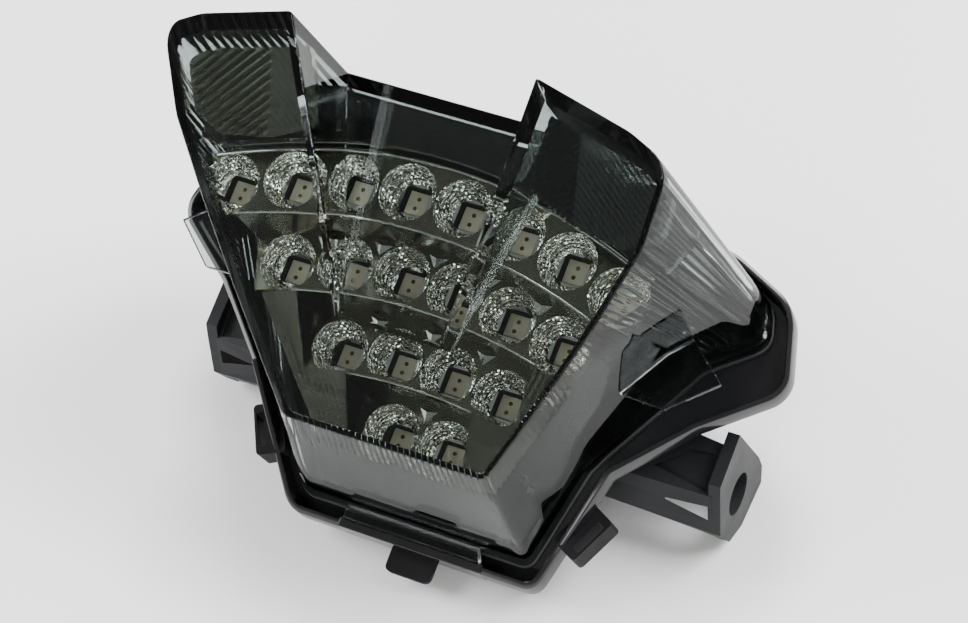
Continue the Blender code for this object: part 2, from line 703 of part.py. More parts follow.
def reflector(mat):
    body = None
    for row in range(4):
        rim = row_rim(row)
        back = led_z(row) - LED_SIZE[2]
        high = LEDGE_Y[row] + (0.001 if row else 0.0)
        band = arch_band(ROW_HALF[row], LEDGE_Y[row + 1], high, OVERLAP)
        block = plate("block", band, back, rim)
        if body:
            cut(body, f"row_{row}_block", block, "UNION")
        else:
            body = add("stop_reflector", block, mat)
        if row < 3:
            low = LEDGE_Y[row + 1]
            half = ROW_HALF[row + 1][1]
            band = arch_band((half, half), low, low + WALL, WALL)
            foot = rim - ROW_STEP - 0.002
            cut(body, f"row_{row}_riser", plate("riser", band, foot, back + 0.001), "UNION")
    for side in (1, -1):
        cut(body, f"side_{side}", side_piece(side), "UNION")
    cut(body, "inside_of_lens", clear_of_lens(), "INTERSECT")
    for i, (x, y) in enumerate([(side * x, y) for x, y in POSTS for side in (1, -1)]):
        top = led_z(1) if i < 2 else side_plane(y) - 0.001
        mesh = plate("post", disc(POST_RADIUS, 16, (x, y)), BACK_Z + BACK_WALL + GAP, top)
        cut(body, f"post_{i}", mesh, "UNION")
        pilot_low = BACK_Z + BACK_WALL - 0.001
        pilot = disc(SCREW_RADIUS + GAP, 12, (x, y))
        cut(body, f"pilot_{i}", plate("pilot", pilot, pilot_low, pilot_low + SCREW_LENGTH + 0.001))
    hollow = cup()
    hollows, squares = [], []
    half_x = LED_SIZE[0] / 2 + LED_HOLE_CLEAR
    half_y = LED_SIZE[1] / 2 + LED_HOLE_CLEAR
    for row in range(4):
        for x, y in led_places(row):
            spot = Matrix.Translation((x, y, led_z(row)))
            hollows.append((hollow, spot))
            square = [(x - half_x, y - half_y), (x + half_x, y - half_y),
                      (x + half_x, y + half_y), (x - half_x, y + half_y)]
            mesh = plate("square", square, led_z(row) - 0.004, led_z(row) + 0.001)
            squares.append((mesh, Matrix.Identity(4)))
    cut(body, "led_holes", joined("led_holes", squares))
    cut(body, "cups", joined("cups", hollows))
    for modifier in body.modifiers:
        modifier.solver = "MANIFOLD"    # EXACT loses this body when a size changes
    return body


# ---- boards, LEDs and screws -----------------------------------------------------------
def boards(mat):
    for row in range(4):
        last = (ROWS[row] - 1) / 2 * LED_PITCH
        top = led_z(row) - LED_SIZE[2] - GAP
        low, high = ROW_Y[row] - BOARD_HALF_Y, ROW_Y[row] + BOARD_HALF_Y
        band = arch_band((last + 0.0010, last + 0.0048), low, high)
        name = f"led_board_row_{row + 1}"
        add(name, plate(name, band, top - BOARD, top), mat)


def leds(mat):
    width, height, thick = LED_SIZE
    outline = [(-width / 2, -height / 2), (width / 2 - LED_CORNER, -height / 2),
               (width / 2, -height / 2 + LED_CORNER), (width / 2, height / 2),
               (-width / 2, height / 2)]
    for row in range(4):
        for i, (x, y) in enumerate(led_places(row)):
            name = f"led_row_{row + 1}_{i + 1}"
            points = [(x + a, y + b) for a, b in outline]
            add(name, plate(name, points, led_z(row) - thick, led_z(row)), mat)


def screws(mat):
    radius, head = SCREW_HEAD
    top = BACK_Z - GAP
    profile = [(0.0, top + SCREW_LENGTH), (SCREW_RADIUS * 0.5, top + SCREW_LENGTH),
               (SCREW_RADIUS, top + SCREW_LENGTH - 0.0015), (SCREW_RADIUS, top), (radius, top),
               (radius, top - head * 0.55), (radius * 0.62, top - head), (0.0, top - head)]
    mesh = turned("screw", profile, 16)
    for i, (x, y) in enumerate([(side * x, y) for x, y in POSTS for side in (1, -1)]):
        add(f"reflector_screw_{i + 1}", moved(mesh, Matrix.Translation((x, y, 0))), mat)


# ---- bezel and horn reflectors ---------------------------------------------------------
def bezel_z():
    return row_rim(0) + BEZEL_RISE


def bezel(mat):
    lower = arch(-BEZEL_HALF, BEZEL_HALF, LEDGE_Y[0] + 0.0006)
    crown = BEZEL_WALL_Y + BEZEL_WALL
    upper = [(BEZEL_HALF, 0.0405), (BEZEL_HALF - 0.006, 0.0445), (0.0420, 0.0472),
             (BEZEL_WALL_HALF + 0.004, crown), (-BEZEL_WALL_HALF - 0.004, crown),
             (-0.0420, 0.0472), (-BEZEL_HALF + 0.006, 0.0445), (-BEZEL_HALF, 0.0405)]
    mesh = plate("inner_bezel", lower + upper, bezel_z(), bezel_z() + BEZEL_THICK)
    body = add("inner_bezel", mesh, mat)
    edge = arch_band((BEZEL_HALF, BEZEL_HALF), LEDGE_Y[0] + 0.0006, LEDGE_Y[0] + 0.0006 + WALL)
    edge_foot = row_rim(0) + GAP
    cut(body, "bezel_edge", plate("edge", edge, edge_foot, bezel_z() + OVERLAP), "UNION")
    foot = lip(0.0) - CHANNEL_DEPTH + GAP
    wall = [(-BEZEL_WALL_HALF, BEZEL_WALL_Y), (BEZEL_WALL_HALF, BEZEL_WALL_Y),
            (BEZEL_WALL_HALF, crown), (-BEZEL_WALL_HALF, crown)]
    cut(body, "bezel_wall", plate("wall", wall, foot, bezel_z() + OVERLAP), "UNION")
    return body


def horn_reflector(name, side, mat):
    slope = sqrt(1 + FACE_SLOPE ** 2)
    points = [(side * x, y * slope) for x, y in HORN]
    turn = Matrix.Rotation(atan2(FACE_SLOPE, 1.0), 4, "X")
    lift = Matrix.Translation((0.0, 0.0, FACE_LEVEL - HORN_DROP))
    mesh = plate(name, points, -HORN_THICK, 0.0)
    body = add(name, moved(mesh, lift @ turn), mat)
    for i, (x, y) in enumerate(PEGS):
        top = face_z(y) - HORN_DROP - HORN_THICK * 0.5
        low = bezel_z() + BEZEL_THICK + GAP
        peg = plate("peg", disc(PEG_RADIUS, 12, (side * x, y)), low, top - PEG_RADIUS)
        cut(body, f"{name}_peg_{i}", peg, "UNION")
    return body


# ---- rear fittings ---------------------------------------------------------------------
def gland(mat):
    wide, neck = GLAND_RADII
    low, high = BACK_Z - GAP, BACK_Z + BACK_WALL + GAP
    profile = [(0.0, high + 0.0015), (neck + 0.0012, high + 0.0015), (neck + 0.0012, high),
               (neck, high), (neck, low), (wide, low), (wide, low - 0.0018),
               (neck, low - 0.0022), (neck * 0.72, low - GLAND_HEIGHT), (0.0, low - GLAND_HEIGHT)]
    mesh = turned("cable_gland", profile, 24)
    body = add("cable_gland", moved(mesh, Matrix.Translation((*GLAND, 0))), mat)
    smooth(body)


def vent(mat):
    wide, neck = VENT_RADII
    low = BACK_Z - GAP
    profile = [(0.0, low + BACK_WALL), (neck, low + BACK_WALL), (neck, low), (wide, low),
               (wide, low - VENT_HEIGHT * 0.7), (wide * 0.8, low - VENT_HEIGHT),
               (0.0, low - VENT_HEIGHT)]
    mesh = turned("breather_vent", profile, 20)
    add("breather_vent", moved(mesh, Matrix.Translation((*VENT, 0))), mat)


# ---- assembly --------------------------------------------------------------------------
def settle():
    """Leans the lamp back onto its lugs and heel, with the floor at z = 0."""
    rest = bpy.data.objects.new("resting_frame", None)
    PARTS.objects.link(rest)
    turn = Matrix.Rotation(TILT, 3, "X")
    heel = turn @ Vector((0.0, HEEL_Y, HEEL_Z))
    tab_tip = (RIM[0][1] - TAB[1], lip(RIM[0][1]) - TAB_DROP)
    top_edge = (RIM[-1][1] - SKIRT_WALL + 0.0011, lip(0.0) - SKIRT)
    crest = (NOTCH_TOP_Y, face_z(NOTCH_TOP_Y))
    across = [(turn @ Vector((0.0, y, z))).y for y, z in (tab_tip, top_edge, crest)]
    rest.rotation_euler.x = TILT
    rest.location = (0.0, -(min(across) + max(across)) / 2, -heel.z)
    for group in (PARTS, CUTTERS):
        for obj in group.objects:
            if obj is not rest:
                obj.parent = rest


def main():
    housing(material("gloss_black_plastic", (0.012, 0.012, 0.013), 0.22))
    satin = material("satin_grey_plastic", (0.055, 0.055, 0.058), 0.45)
    bracket("mount_bracket_right", 1, satin)
    bracket("mount_bracket_left", -1, satin)
    lens(material("smoked_lens", (0.16, 0.20, 0.20), 0.06, alpha=0.4))
    seal(material("seal_rubber", (0.015, 0.015, 0.015), 0.7))
    reflector(material("vacuum_chrome", (0.62, 0.61, 0.56), 0.12, 1.0))
    boards(material("white_solder_mask", (0.05, 0.07, 0.05), 0.4))
    leds(material("led_package", (0.55, 0.50, 0.38), 0.4))
    screws(material("zinc_screw", (0.6, 0.6, 0.6), 0.3, 1.0))
    bezel(material("bezel_black", (0.01, 0.01, 0.011), 0.15))
    dark = material("horn_flute_plastic", (0.09, 0.10, 0.085), 0.3)
    horn_reflector("horn_reflector_right", 1, dark)
    horn_reflector("horn_reflector_left", -1, dark)
    gland(material("gland_rubber", (0.02, 0.02, 0.02), 0.65))
    vent(material("vent_plastic", (0.03, 0.03, 0.03), 0.5))
    settle()


main()
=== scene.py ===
import random
from math import atan2, ceil, cos, pi, radians, sin, sqrt

import bmesh
import bpy
from mathutils import Matrix, Vector


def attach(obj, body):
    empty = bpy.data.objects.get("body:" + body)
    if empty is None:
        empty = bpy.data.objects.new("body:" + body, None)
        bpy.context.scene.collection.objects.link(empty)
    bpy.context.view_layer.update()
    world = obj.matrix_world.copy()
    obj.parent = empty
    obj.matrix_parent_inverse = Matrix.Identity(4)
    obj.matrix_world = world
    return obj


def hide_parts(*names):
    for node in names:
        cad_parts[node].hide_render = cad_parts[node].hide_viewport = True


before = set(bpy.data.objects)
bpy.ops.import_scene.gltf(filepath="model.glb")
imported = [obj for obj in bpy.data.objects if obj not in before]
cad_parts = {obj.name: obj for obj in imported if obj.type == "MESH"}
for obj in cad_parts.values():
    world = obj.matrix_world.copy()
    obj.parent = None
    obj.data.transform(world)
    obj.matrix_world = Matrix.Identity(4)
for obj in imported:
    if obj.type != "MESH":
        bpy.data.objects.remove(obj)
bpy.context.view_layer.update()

# ---- the lamp's own frame: x across, y up as fitted, z out of the lens -----------------
TILT = radians(13.905656)
LAMP = Matrix.Translation((0.0, -0.010646, 0.065607)) @ Matrix.Rotation(TILT, 4, "X")

# ---- outlines as in the part: (x, y, corner radius), bottom to top ---------------------
FACE = [(0.0304, -0.0319, 0.004), (0.0480, -0.0057, 0.0), (0.0575, 0.0095, 0.010),
        (0.0668, 0.0260, 0.010), (0.0713, 0.0435, 0.006), (0.0600, 0.0478, 0.020),
        (0.0352, 0.0529, 0.0)]
FOOT = [(0.0355, -0.0432, 0.005), (0.0513, -0.0108, 0.0), (0.0689, 0.0196, 0.012),
        (0.0837, 0.0310, 0.006), (0.0803, 0.0425, 0.009), (0.0675, 0.0490, 0.020),
        (0.0352, 0.0560, 0.0)]
RIM = [(0.0386, -0.0490, 0.0065), (0.0554, -0.0155, 0.0), (0.0729, 0.0031, 0.012),
       (0.0938, 0.0196, 0.009), (0.0870, 0.0432, 0.014), (0.0675, 0.0522, 0.020),
       (0.0352, 0.0597, 0.0)]
BACK = [(0.0315, -0.0400, 0.005), (0.0480, -0.0105, 0.0), (0.0565, 0.0040, 0.008),
        (0.0640, 0.0180, 0.008), (0.0640, 0.0370, 0.008), (0.0500, 0.0450, 0.012),
        (0.0320, 0.0490, 0.0)]
ARC_STEPS = 8

MERGE = 0.0000005

FACE_SLOPE = 0.95
FACE_LEVEL = 0.0365
LENS_WALL = 0.0024
PANEL_WALL_FACTOR = 1.045          # its wall is measured along z
NOTCH_TIP = (0.0149, 0.0009)       # x of the blade at its tip, and the width of its edge
NOTCH_TOP = (0.0340, 0.0310)       # x of the blade's crest, and of the foot of its wall
PANEL_SLOPE = 0.303
FIN_Z, FIN_THICK = 0.0058, 0.0020
FIN = [(0.0440, 0.0030), (0.0588, 0.0014), (0.0693, 0.0011), (0.0814, 0.0119),
       (0.0700, 0.0215), (0.0640, 0.0190)]

LIP_Z, LIP_BEND_Y, LIP_SLOPE = -0.0149, -0.0162, 0.78
LIP_WIDTH, LIP_ROUND = 0.0018, 0.0006
CHANNEL_DEPTH, CHANNEL_FLOOR = 0.0060, 0.0025
SKIRT, SKIRT_IN = 0.0160, 0.0034
BACK_Z, BACK_WALL, BACK_DRAFT = -0.0500, 0.0025, 0.0015
INNER_WALL, INNER_WALL_DROP = 0.0016, 0.0022
TAB, TAB_DROP = (0.0140, 0.0068, 0.0020), 0.0055
CLIP, CLIP_SLOT = (0.0150, 0.0052, 0.0090), (0.0100, 0.0024)
CLIP_Y, CLIP_DROP = -0.0300, 0.0045
FOOT_CLEAR = 0.0024

ROWS = [8, 6, 4, 2]
LED_PITCH = 0.0162
LED_SIZE = (0.0058, 0.0064, 0.0019)
CHIP_PLACES = [(0.0001, 0.0013), (-0.0002, -0.0014)]
PACKAGE_SINK = 0.00012
ROW_STEP = 0.0172
ROW_Y = [0.0301, 0.0122, -0.0060, -0.0225]
LEDGE_Y = [0.0397, 0.0204, 0.0041, -0.0130, -0.0300]
ROW_HALF = [(0.0610, 0.0650), (0.0462, 0.0510), (0.0318, 0.0350), (0.0175, 0.0190)]
ARCH = 3.4
TOP_RIM = 0.0355
CUP_DEPTH = 0.0091
WALL, SHEET = 0.0015, 0.0009       # risers, front plates
SIDE_PITCH, SIDE_FLUTE, SIDE_HEADING = 0.0016, 0.00035, 62
SIDE_RISE, SIDE_SLOPE = 0.0170, 1.02
SIDE_EDGE = [(0.0270, -0.0300), (0.0456, -0.0029)]
WEDGE_HALF, WEDGE_LENGTH, WEDGE_RISE = 0.0036, 0.0045, 0.0013
WEDGE_DROP, WEDGE_APEX_DROP, WEDGE_SINK = 0.0004, 0.0012, 0.0004
LEDGE_BEAD, CROWN_BEAD, CROWN_HALF = 0.00030, 0.00055, 0.0635

BEZEL_Z, BEZEL_THICK = 0.0395, 0.0018
BEZEL_HALF = 0.0620
WALL_GAP = 0.0004
HORN_DROP, HORN_THICK = 0.0145, 0.0018
HORN = [(0.0310, 0.0345), (0.0430, 0.0300), (0.0580, 0.0278), (0.0665, 0.0310),
        (0.0740, 0.0400), (0.0740, 0.0520), (0.0360, 0.0560)]
HORN_FOLD, HORN_CORNER, HORN_HEADING = 0.0440, 0.004, 46
HORN_FLUTES = {"right": (0.0015, 0.00075), "left": (0.0020, 0.00090)}
FLUTE_REACH_HALF = 0.075

MOUTH = 0.00800
BOWL_FLOOR = 0.0047
BOWL_CURVE = 0.7
WELL_HALF = (0.0036, 0.0039)
WELL_DEPTH = 0.0020
WELL_SINK = 0.0010
FACETS = (28, 6)
FACET_SPLIT = 3
PILLOW, PILLOW_TILT = 0.00022, 0.00008

STEP_ALONG = 0.00045
LENS_ROUND = 0.00045
FLAT_AREA = 0.0001                 # larger faces of the lens are flat
FLUTE_PITCH, LONG_PITCH = 0.0018, 0.0027
FLUTE_DEPTH = 0.00042
FLUTE_REACH, LONG_REACH, FLUTE_FADE = 0.34, 0.92, 0.12
SHOULDER_Y = 0.014                 # above it the flutes are long
FLUTE_RINGS = [0.015, 0.08, 0.16, 0.24, 0.30, 0.36, 0.52, 0.70, 0.82, 0.94, 1.0]

# ---- outline helpers -------------------------------------------------------------------
def inset(corners, distance):
    """The mirrored outline moved inwards; only its right half is returned."""
    whole = corners + [(-x, y, r) for x, y, r in reversed(corners)]
    count = len(whole)
    result = []
    for i in range(len(corners)):
        x, y, radius = whole[i]
        nxt = whole[(i + 1) % count]
        before = Vector((x - whole[i - 1][0], y - whole[i - 1][1])).normalized()
        after = Vector((nxt[0] - x, nxt[1] - y)).normalized()
        n1 = Vector((-before.y, before.x))
        n2 = Vector((-after.y, after.x))
        shift = (n1 + n2) * (distance / (1.0 + n1.dot(n2)))
        turn = before.x * after.y - before.y * after.x
        grown = radius - distance if turn > 0 else radius + distance
        result.append((x + shift.x, y + shift.y, max(grown, 0.001) if radius else 0.0))
    return result


def rounded(before, corner, after, radius):
    """The points of one rounded corner."""
    if not radius:
        return [(corner.x, corner.y)]
    to_a = (before - corner).normalized()
    to_b = (after - corner).normalized()
    half = to_a.angle(to_b) / 2
    centre = corner + (to_a + to_b).normalized() * (radius / sin(half))
    start = corner + to_a * (radius / abs(sin(half) / cos(half))) - centre
    end = corner + to_b * (radius / abs(sin(half) / cos(half))) - centre
    sweep = start.angle_signed(end)
    points = []
    for i in range(ARC_STEPS + 1):
        spoke = start.copy()
        spoke.rotate(Matrix.Rotation(-sweep * i / ARC_STEPS, 2))
        points.append((centre.x + spoke.x, centre.y + spoke.y))
    return points


def column(corners):
    """The right side from bottom to top, with a point where the lip bends."""
    places = [Vector((-corners[0][0], corners[0][1]))]
    places += [Vector((x, y)) for x, y, _ in corners]
    places.append(Vector((-corners[-1][0], corners[-1][1])))
    points = []
    for i, (_, _, radius) in enumerate(corners):
        points += rounded(places[i], places[i + 1], places[i + 2], radius)
    above = next(i for i, point in enumerate(points) if point[1] > LIP_BEND_Y)
    (x0, y0), (x1, y1) = points[above - 1], points[above]
    share = (LIP_BEND_Y - y0) / (y1 - y0)
    points.insert(above, (x0 + share * (x1 - x0), LIP_BEND_Y))
    return points


def mirror_x(points):
    return [(-x, y) for x, y in reversed(points)]


def loop(corners, height):
    side = column(corners)
    return [(x, y, height(y)) for x, y in side + mirror_x(side)]


def lip(y):
    """Height of the housing's lip."""
    return LIP_Z - LIP_SLOPE * max(0.0, LIP_BEND_Y - y)


def below_lip(drop):
    return lambda y: lip(y) - drop


def level(z):
    return lambda y: z


def face_z(y):
    return FACE_LEVEL + FACE_SLOPE * y


TIP_Y = FACE[1][1]


def panel_z(y):
    return face_z(TIP_Y) + PANEL_SLOPE * (y - TIP_Y)


def foot_z(y):
    return lip(y) - CHANNEL_DEPTH + FOOT_CLEAR


def arch(start, end, y, steps=28):
    """Points across the lamp that sink towards its sides."""
    xs = [start + (end - start) * i / steps for i in range(steps + 1)]
    return [(x, y - ARCH * x ** 2) for x in xs]


def wall_x(y, z):
    """x of the lens's inner wall at a height, from its corners."""
    front, foot = inset(FACE, LENS_WALL), inset(FOOT, LENS_WALL)
    ring = []
    for (fx, fy, _), (bx, by, _) in zip(front, foot):
        share = (face_z(fy) - z) / (face_z(fy) - foot_z(by))
        ring.append((fx + share * (bx - fx), fy + share * (by - fy)))
    for (x0, y0), (x1, y1) in zip(ring, ring[1:]):
        if y0 <= y <= y1:
            return x0 + (x1 - x0) * (y - y0) / (y1 - y0)
    return ring[0][0] if y < ring[0][1] else ring[-1][0]


# ---- mesh helpers ----------------------------------------------------------------------
def to_mesh(bm, name):
    bmesh.ops.remove_doubles(bm, verts=bm.verts, dist=MERGE)
    bmesh.ops.recalc_face_normals(bm, faces=bm.faces)
    mesh = bpy.data.meshes.new(name)
    bm.to_mesh(mesh)
    bm.free()
    return mesh


def scratch(mesh):
    obj = bpy.data.objects.new("scratch", mesh)
    bpy.context.scene.collection.objects.link(obj)
    return obj


def evaluated(obj):
    bpy.context.view_layer.update()
    graph = bpy.context.evaluated_depsgraph_get()
    mesh = bpy.data.meshes.new_from_object(obj.evaluated_get(graph))
    mesh.transform(obj.matrix_world)
    bpy.data.objects.remove(obj)
    return mesh


def combined(mesh, others, operation):
    """mesh with every other mesh cut from it, joined to it or kept in common."""
    obj = scratch(mesh)
    tools = []
    for other in others:
        tool = scratch(other)
        tools.append(tool)
        mod = obj.modifiers.new("b", "BOOLEAN")
        mod.operation = operation
        mod.solver = "EXACT"
        mod.object = tool
    result = evaluated(obj)
    for tool in tools:
        bpy.data.objects.remove(tool)
    return result


def plate(points, low, high, holes=()):
    """A flat slab between two heights, with holes."""
    curve = bpy.data.curves.new("plate", "CURVE")
    curve.dimensions = "2D"
    curve.fill_mode = "BOTH"
    curve.extrude = (high - low) / 2
    for ring in [points, *holes]:
        spline = curve.splines.new("POLY")
        spline.points.add(len(ring) - 1)
        spline.use_cyclic_u = True
        for point, (x, y) in zip(spline.points, ring):
            point.co = (x, y, 0.0, 1.0)
    obj = bpy.data.objects.new("plate", curve)
    bpy.context.scene.collection.objects.link(obj)
    obj.location.z = (low + high) / 2
    bm = bmesh.new()
    bm.from_mesh(evaluated(obj))
    return to_mesh(bm, "plate")


def turned(profile, steps):
    """A turned solid about z; the profile starts and ends on the axis."""
    bm = bmesh.new()
    rings = []
    for r, z in profile:
        if r < 1e-9:
            rings.append([bm.verts.new((0, 0, z))])
        else:
            turns = [2 * pi * i / steps for i in range(steps)]
            rings.append([bm.verts.new((r * cos(turn), r * sin(turn), z)) for turn in turns])
    for a, b in zip(rings, rings[1:]):
        for i in range(steps):
            j = (i + 1) % steps
            face = [a[i % len(a)], a[j % len(a)], b[j % len(b)], b[i % len(b)]]
            unique = list(dict.fromkeys(face))
            if len(unique) > 2:
                bm.faces.new(unique)
    return to_mesh(bm, "turned")


def joined(meshes):
    bm = bmesh.new()
    for mesh in meshes:
        bm.from_mesh(mesh)
    made = bpy.data.meshes.new("joined")
    bm.to_mesh(made)
    bm.free()
    return made


def moved(mesh, matrix):
    copy = mesh.copy()
    copy.transform(matrix)
    return copy


def loft(rings, cap=True):
    """A solid through rings; without caps its last ring joins the first."""
    bm = bmesh.new()
    rows = [[bm.verts.new(point) for point in ring] for ring in rings]
    count = len(rows[0])
    pairs = list(zip(rows, rows[1:])) + ([] if cap else [(rows[-1], rows[0])])
    for low, high in pairs:
        for i in range(count):
            j = (i + 1) % count
            bm.faces.new((low[i], low[j], high[j], high[i]))
    if cap:
        for row in (rows[0], rows[-1]):
            half = len(row) // 2
            for i in range(half - 1):
                bm.faces.new((row[i], row[i + 1], row[-2 - i], row[-1 - i]))
    return to_mesh(bm, "loft")


def tube(points, radius):
    curve = bpy.data.curves.new("tube", "CURVE")
    curve.dimensions = "3D"
    curve.bevel_depth = radius
    curve.bevel_resolution = 2
    curve.use_fill_caps = True
    spline = curve.splines.new("POLY")
    spline.points.add(len(points) - 1)
    for point, place in zip(spline.points, points):
        point.co = (*place, 1.0)
    obj = bpy.data.objects.new("tube", curve)
    bpy.context.scene.collection.objects.link(obj)
    return evaluated(obj)


def piece(name, mesh, mat, nodes=(), sharp=35, bevel=0.0, segments=2):
    """Put a finished mesh into the scene, in the shared frame."""
    mesh.transform(LAMP)
    mesh.name = name
    obj = bpy.data.objects.new(name, mesh)
    bpy.context.scene.collection.objects.link(obj)
    mesh.materials.clear()
    mesh.materials.append(mat)
    for polygon in mesh.polygons:
        polygon.use_smooth = True
        polygon.material_index = 0
    mesh.set_sharp_from_angle(angle=radians(sharp))
    if bevel:
        mod = obj.modifiers.new("edges", "BEVEL")
        mod.width = bevel
        mod.segments = segments
        mod.limit_method = "ANGLE"
        mod.angle_limit = radians(32)
        mod.harden_normals = True
    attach(obj, "root")
    if nodes:
        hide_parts(*nodes)
    return obj


# ---- materials -------------------------------------------------------------------------
def shader(name, **values):
    mat = bpy.data.materials.new(name)
    mat.use_nodes = True
    bsdf = mat.node_tree.nodes["Principled BSDF"]
    for key, value in values.items():
        bsdf.inputs[key.replace("_", " ")].default_value = value
    return mat, mat.node_tree, bsdf


def noise_tex(tree, scale, detail=3.0, rough=0.5):
    place = tree.nodes.new("ShaderNodeTexCoord")
    tex = tree.nodes.new("ShaderNodeTexNoise")
    tex.inputs["Scale"].default_value = scale
    tex.inputs["Detail"].default_value = detail
    tex.inputs["Roughness"].default_value = rough
    tree.links.new(place.outputs["Object"], tex.inputs["Vector"])
    return tex


def ramp(tree, source, stops):
    made = tree.nodes.new("ShaderNodeValToRGB")
    for element, (place, colour) in zip(made.color_ramp.elements, stops):
        element.position = place
        element.color = (*colour, 1.0)
    tree.links.new(source, made.inputs["Fac"])
    return made.outputs["Color"]


def grey(value):
    return (value, value, value)


def bump(tree, bsdf, height, strength, distance):
    node = tree.nodes.new("ShaderNodeBump")
    node.inputs["Strength"].default_value = strength
    node.inputs["Distance"].default_value = distance
    tree.links.new(height, node.inputs["Height"])
    tree.links.new(node.outputs["Normal"], bsdf.inputs["Normal"])


def moulded(name, low, high, rough_low, rough_high, grain=900.0, strength=0.08, coat=0.0,
            shine=0.5):
    """Moulded plastic: faint colour drift, uneven gloss and a fine surface grain."""
    mat, tree, bsdf = shader(name, IOR=1.5)
    bsdf.inputs["Coat Weight"].default_value = coat
    bsdf.inputs["Specular IOR Level"].default_value = shine
    bsdf.inputs["Coat Roughness"].default_value = 0.06
    drift = noise_tex(tree, 38.0, 4.0)
    colour = ramp(tree, drift.outputs["Fac"], [(0.3, low), (0.7, high)])
    tree.links.new(colour, bsdf.inputs["Base Color"])
    smear = noise_tex(tree, 90.0, 5.0, 0.6)
    rough = ramp(tree, smear.outputs["Fac"], [(0.3, grey(rough_low)), (0.75, grey(rough_high))])
    tree.links.new(rough, bsdf.inputs["Roughness"])
    fine = noise_tex(tree, grain, 3.0, 0.6)
    bump(tree, bsdf, fine.outputs["Fac"], strength, 0.0002)
    return mat


def smoked(name, tint):
    """Smoked clear plastic, with faint flow marks and dust in its gloss."""
    mat, tree, bsdf = shader(name, IOR=1.24)
    bsdf.inputs["Transmission Weight"].default_value = 1.0
    drift = noise_tex(tree, 26.0, 2.0)
    deep = tuple(c * 0.96 for c in tint)
    colour = ramp(tree, drift.outputs["Fac"], [(0.3, deep), (0.7, tint)])
    tree.links.new(colour, bsdf.inputs["Base Color"])
    smear = noise_tex(tree, 120.0, 5.0, 0.6)
    rough = ramp(tree, smear.outputs["Fac"], [(0.35, grey(0.006)), (0.8, grey(0.035))])
    tree.links.new(rough, bsdf.inputs["Roughness"])
    return mat


def metallised(name, dark, light, rough_low, rough_high, ripple=0.03):
    """Vacuum-metallised plastic: mirror bright, a little uneven."""
    mat, tree, bsdf = shader(name, Metallic=1.0)
    drift = noise_tex(tree, 60.0, 4.0)
    colour = ramp(tree, drift.outputs["Fac"], [(0.3, dark), (0.7, light)])
    tree.links.new(colour, bsdf.inputs["Base Color"])
    smear = noise_tex(tree, 160.0, 4.0, 0.6)
    rough = ramp(tree, smear.outputs["Fac"], [(0.3, grey(rough_low)), (0.75, grey(rough_high))])
    tree.links.new(rough, bsdf.inputs["Roughness"])
    wave = noise_tex(tree, 240.0, 2.0)
    bump(tree, bsdf, wave.outputs["Fac"], ripple, 0.0003)
    return mat


LENS = smoked("smoked_lens_gloss", (0.52, 0.565, 0.56))
CHROME = metallised("vacuum_chrome_bright", (0.80, 0.79, 0.73), (0.88, 0.87, 0.82), 0.03, 0.08)
# the steps' chrome is painted dark olive as a painted dark reflection, much darker than the cups'
# chrome of the same reflector
CHROME_PAINTED_DARK = metallised("vacuum_chrome_painted_dark_reflection", (0.22, 0.205, 0.155), (0.28, 0.265, 0.20),
                   0.13, 0.20, 0.004)
BLACK = moulded("gloss_black_moulding", (0.006, 0.006, 0.007), (0.011, 0.011, 0.012),
                0.10, 0.20, 700.0, 0.05, 0.0, shine=0.35)
SATIN = moulded("satin_grey_moulding", (0.014, 0.0145, 0.016), (0.021, 0.0215, 0.023),
                0.36, 0.50, 1500.0, 0.20, shine=0.10)
FLANK = moulded("satin_black_moulding", (0.008, 0.008, 0.009), (0.013, 0.013, 0.014),
                0.38, 0.50, 1300.0, 0.12, shine=0.04)
# the wells round the LEDs are near black as painted shadow in the LED holes
WELL_PAINTED_SHADOW = moulded("led_well_painted_shadow", (0.003, 0.003, 0.003), (0.006, 0.006, 0.006), 0.4, 0.6)
BEZEL = moulded("bezel_gloss_black", (0.003, 0.003, 0.004), (0.006, 0.006, 0.007),
                0.07, 0.14, 500.0, 0.03, 0.5)
RUBBER = moulded("seal_black_rubber", (0.012, 0.012, 0.012), (0.020, 0.020, 0.020), 0.6, 0.8)
VENT = moulded("vent_black_plastic", (0.018, 0.018, 0.018), (0.030, 0.030, 0.030), 0.45, 0.6)
MASK = moulded("board_solder_mask", (0.010, 0.030, 0.014), (0.018, 0.044, 0.022), 0.28, 0.42)
PACKAGE = moulded("led_package_body", (0.92, 0.80, 0.58), (0.96, 0.87, 0.66), 0.35, 0.5)
CHIP = moulded("led_chip_lens", (0.10, 0.045, 0.020), (0.20, 0.10, 0.045), 0.15, 0.25)
ZINC = metallised("zinc_plated_steel", (0.55, 0.55, 0.54), (0.68, 0.68, 0.66), 0.22, 0.38)
# the side plates' chrome is painted darker still, as a painted dark reflection
SIDES_PAINTED_DARK = metallised("side_flutes_painted_dark_reflection", (0.055, 0.052, 0.040), (0.080, 0.077, 0.058),
                   0.16, 0.24, 0.005)
# the left horn's flutes are painted lighter as reflected light
HORN_LEFT_PAINTED_LIGHT = metallised("horn_flutes_painted_light", (0.26, 0.26, 0.21), (0.34, 0.34, 0.28),
                       0.14, 0.20, 0.004)
# the right horn's flutes are painted darker as shade
HORN_RIGHT_PAINTED_SHADE = metallised("horn_flutes_painted_shade", (0.10, 0.110, 0.105), (0.14, 0.155, 0.145),
                        0.14, 0.20, 0.004)


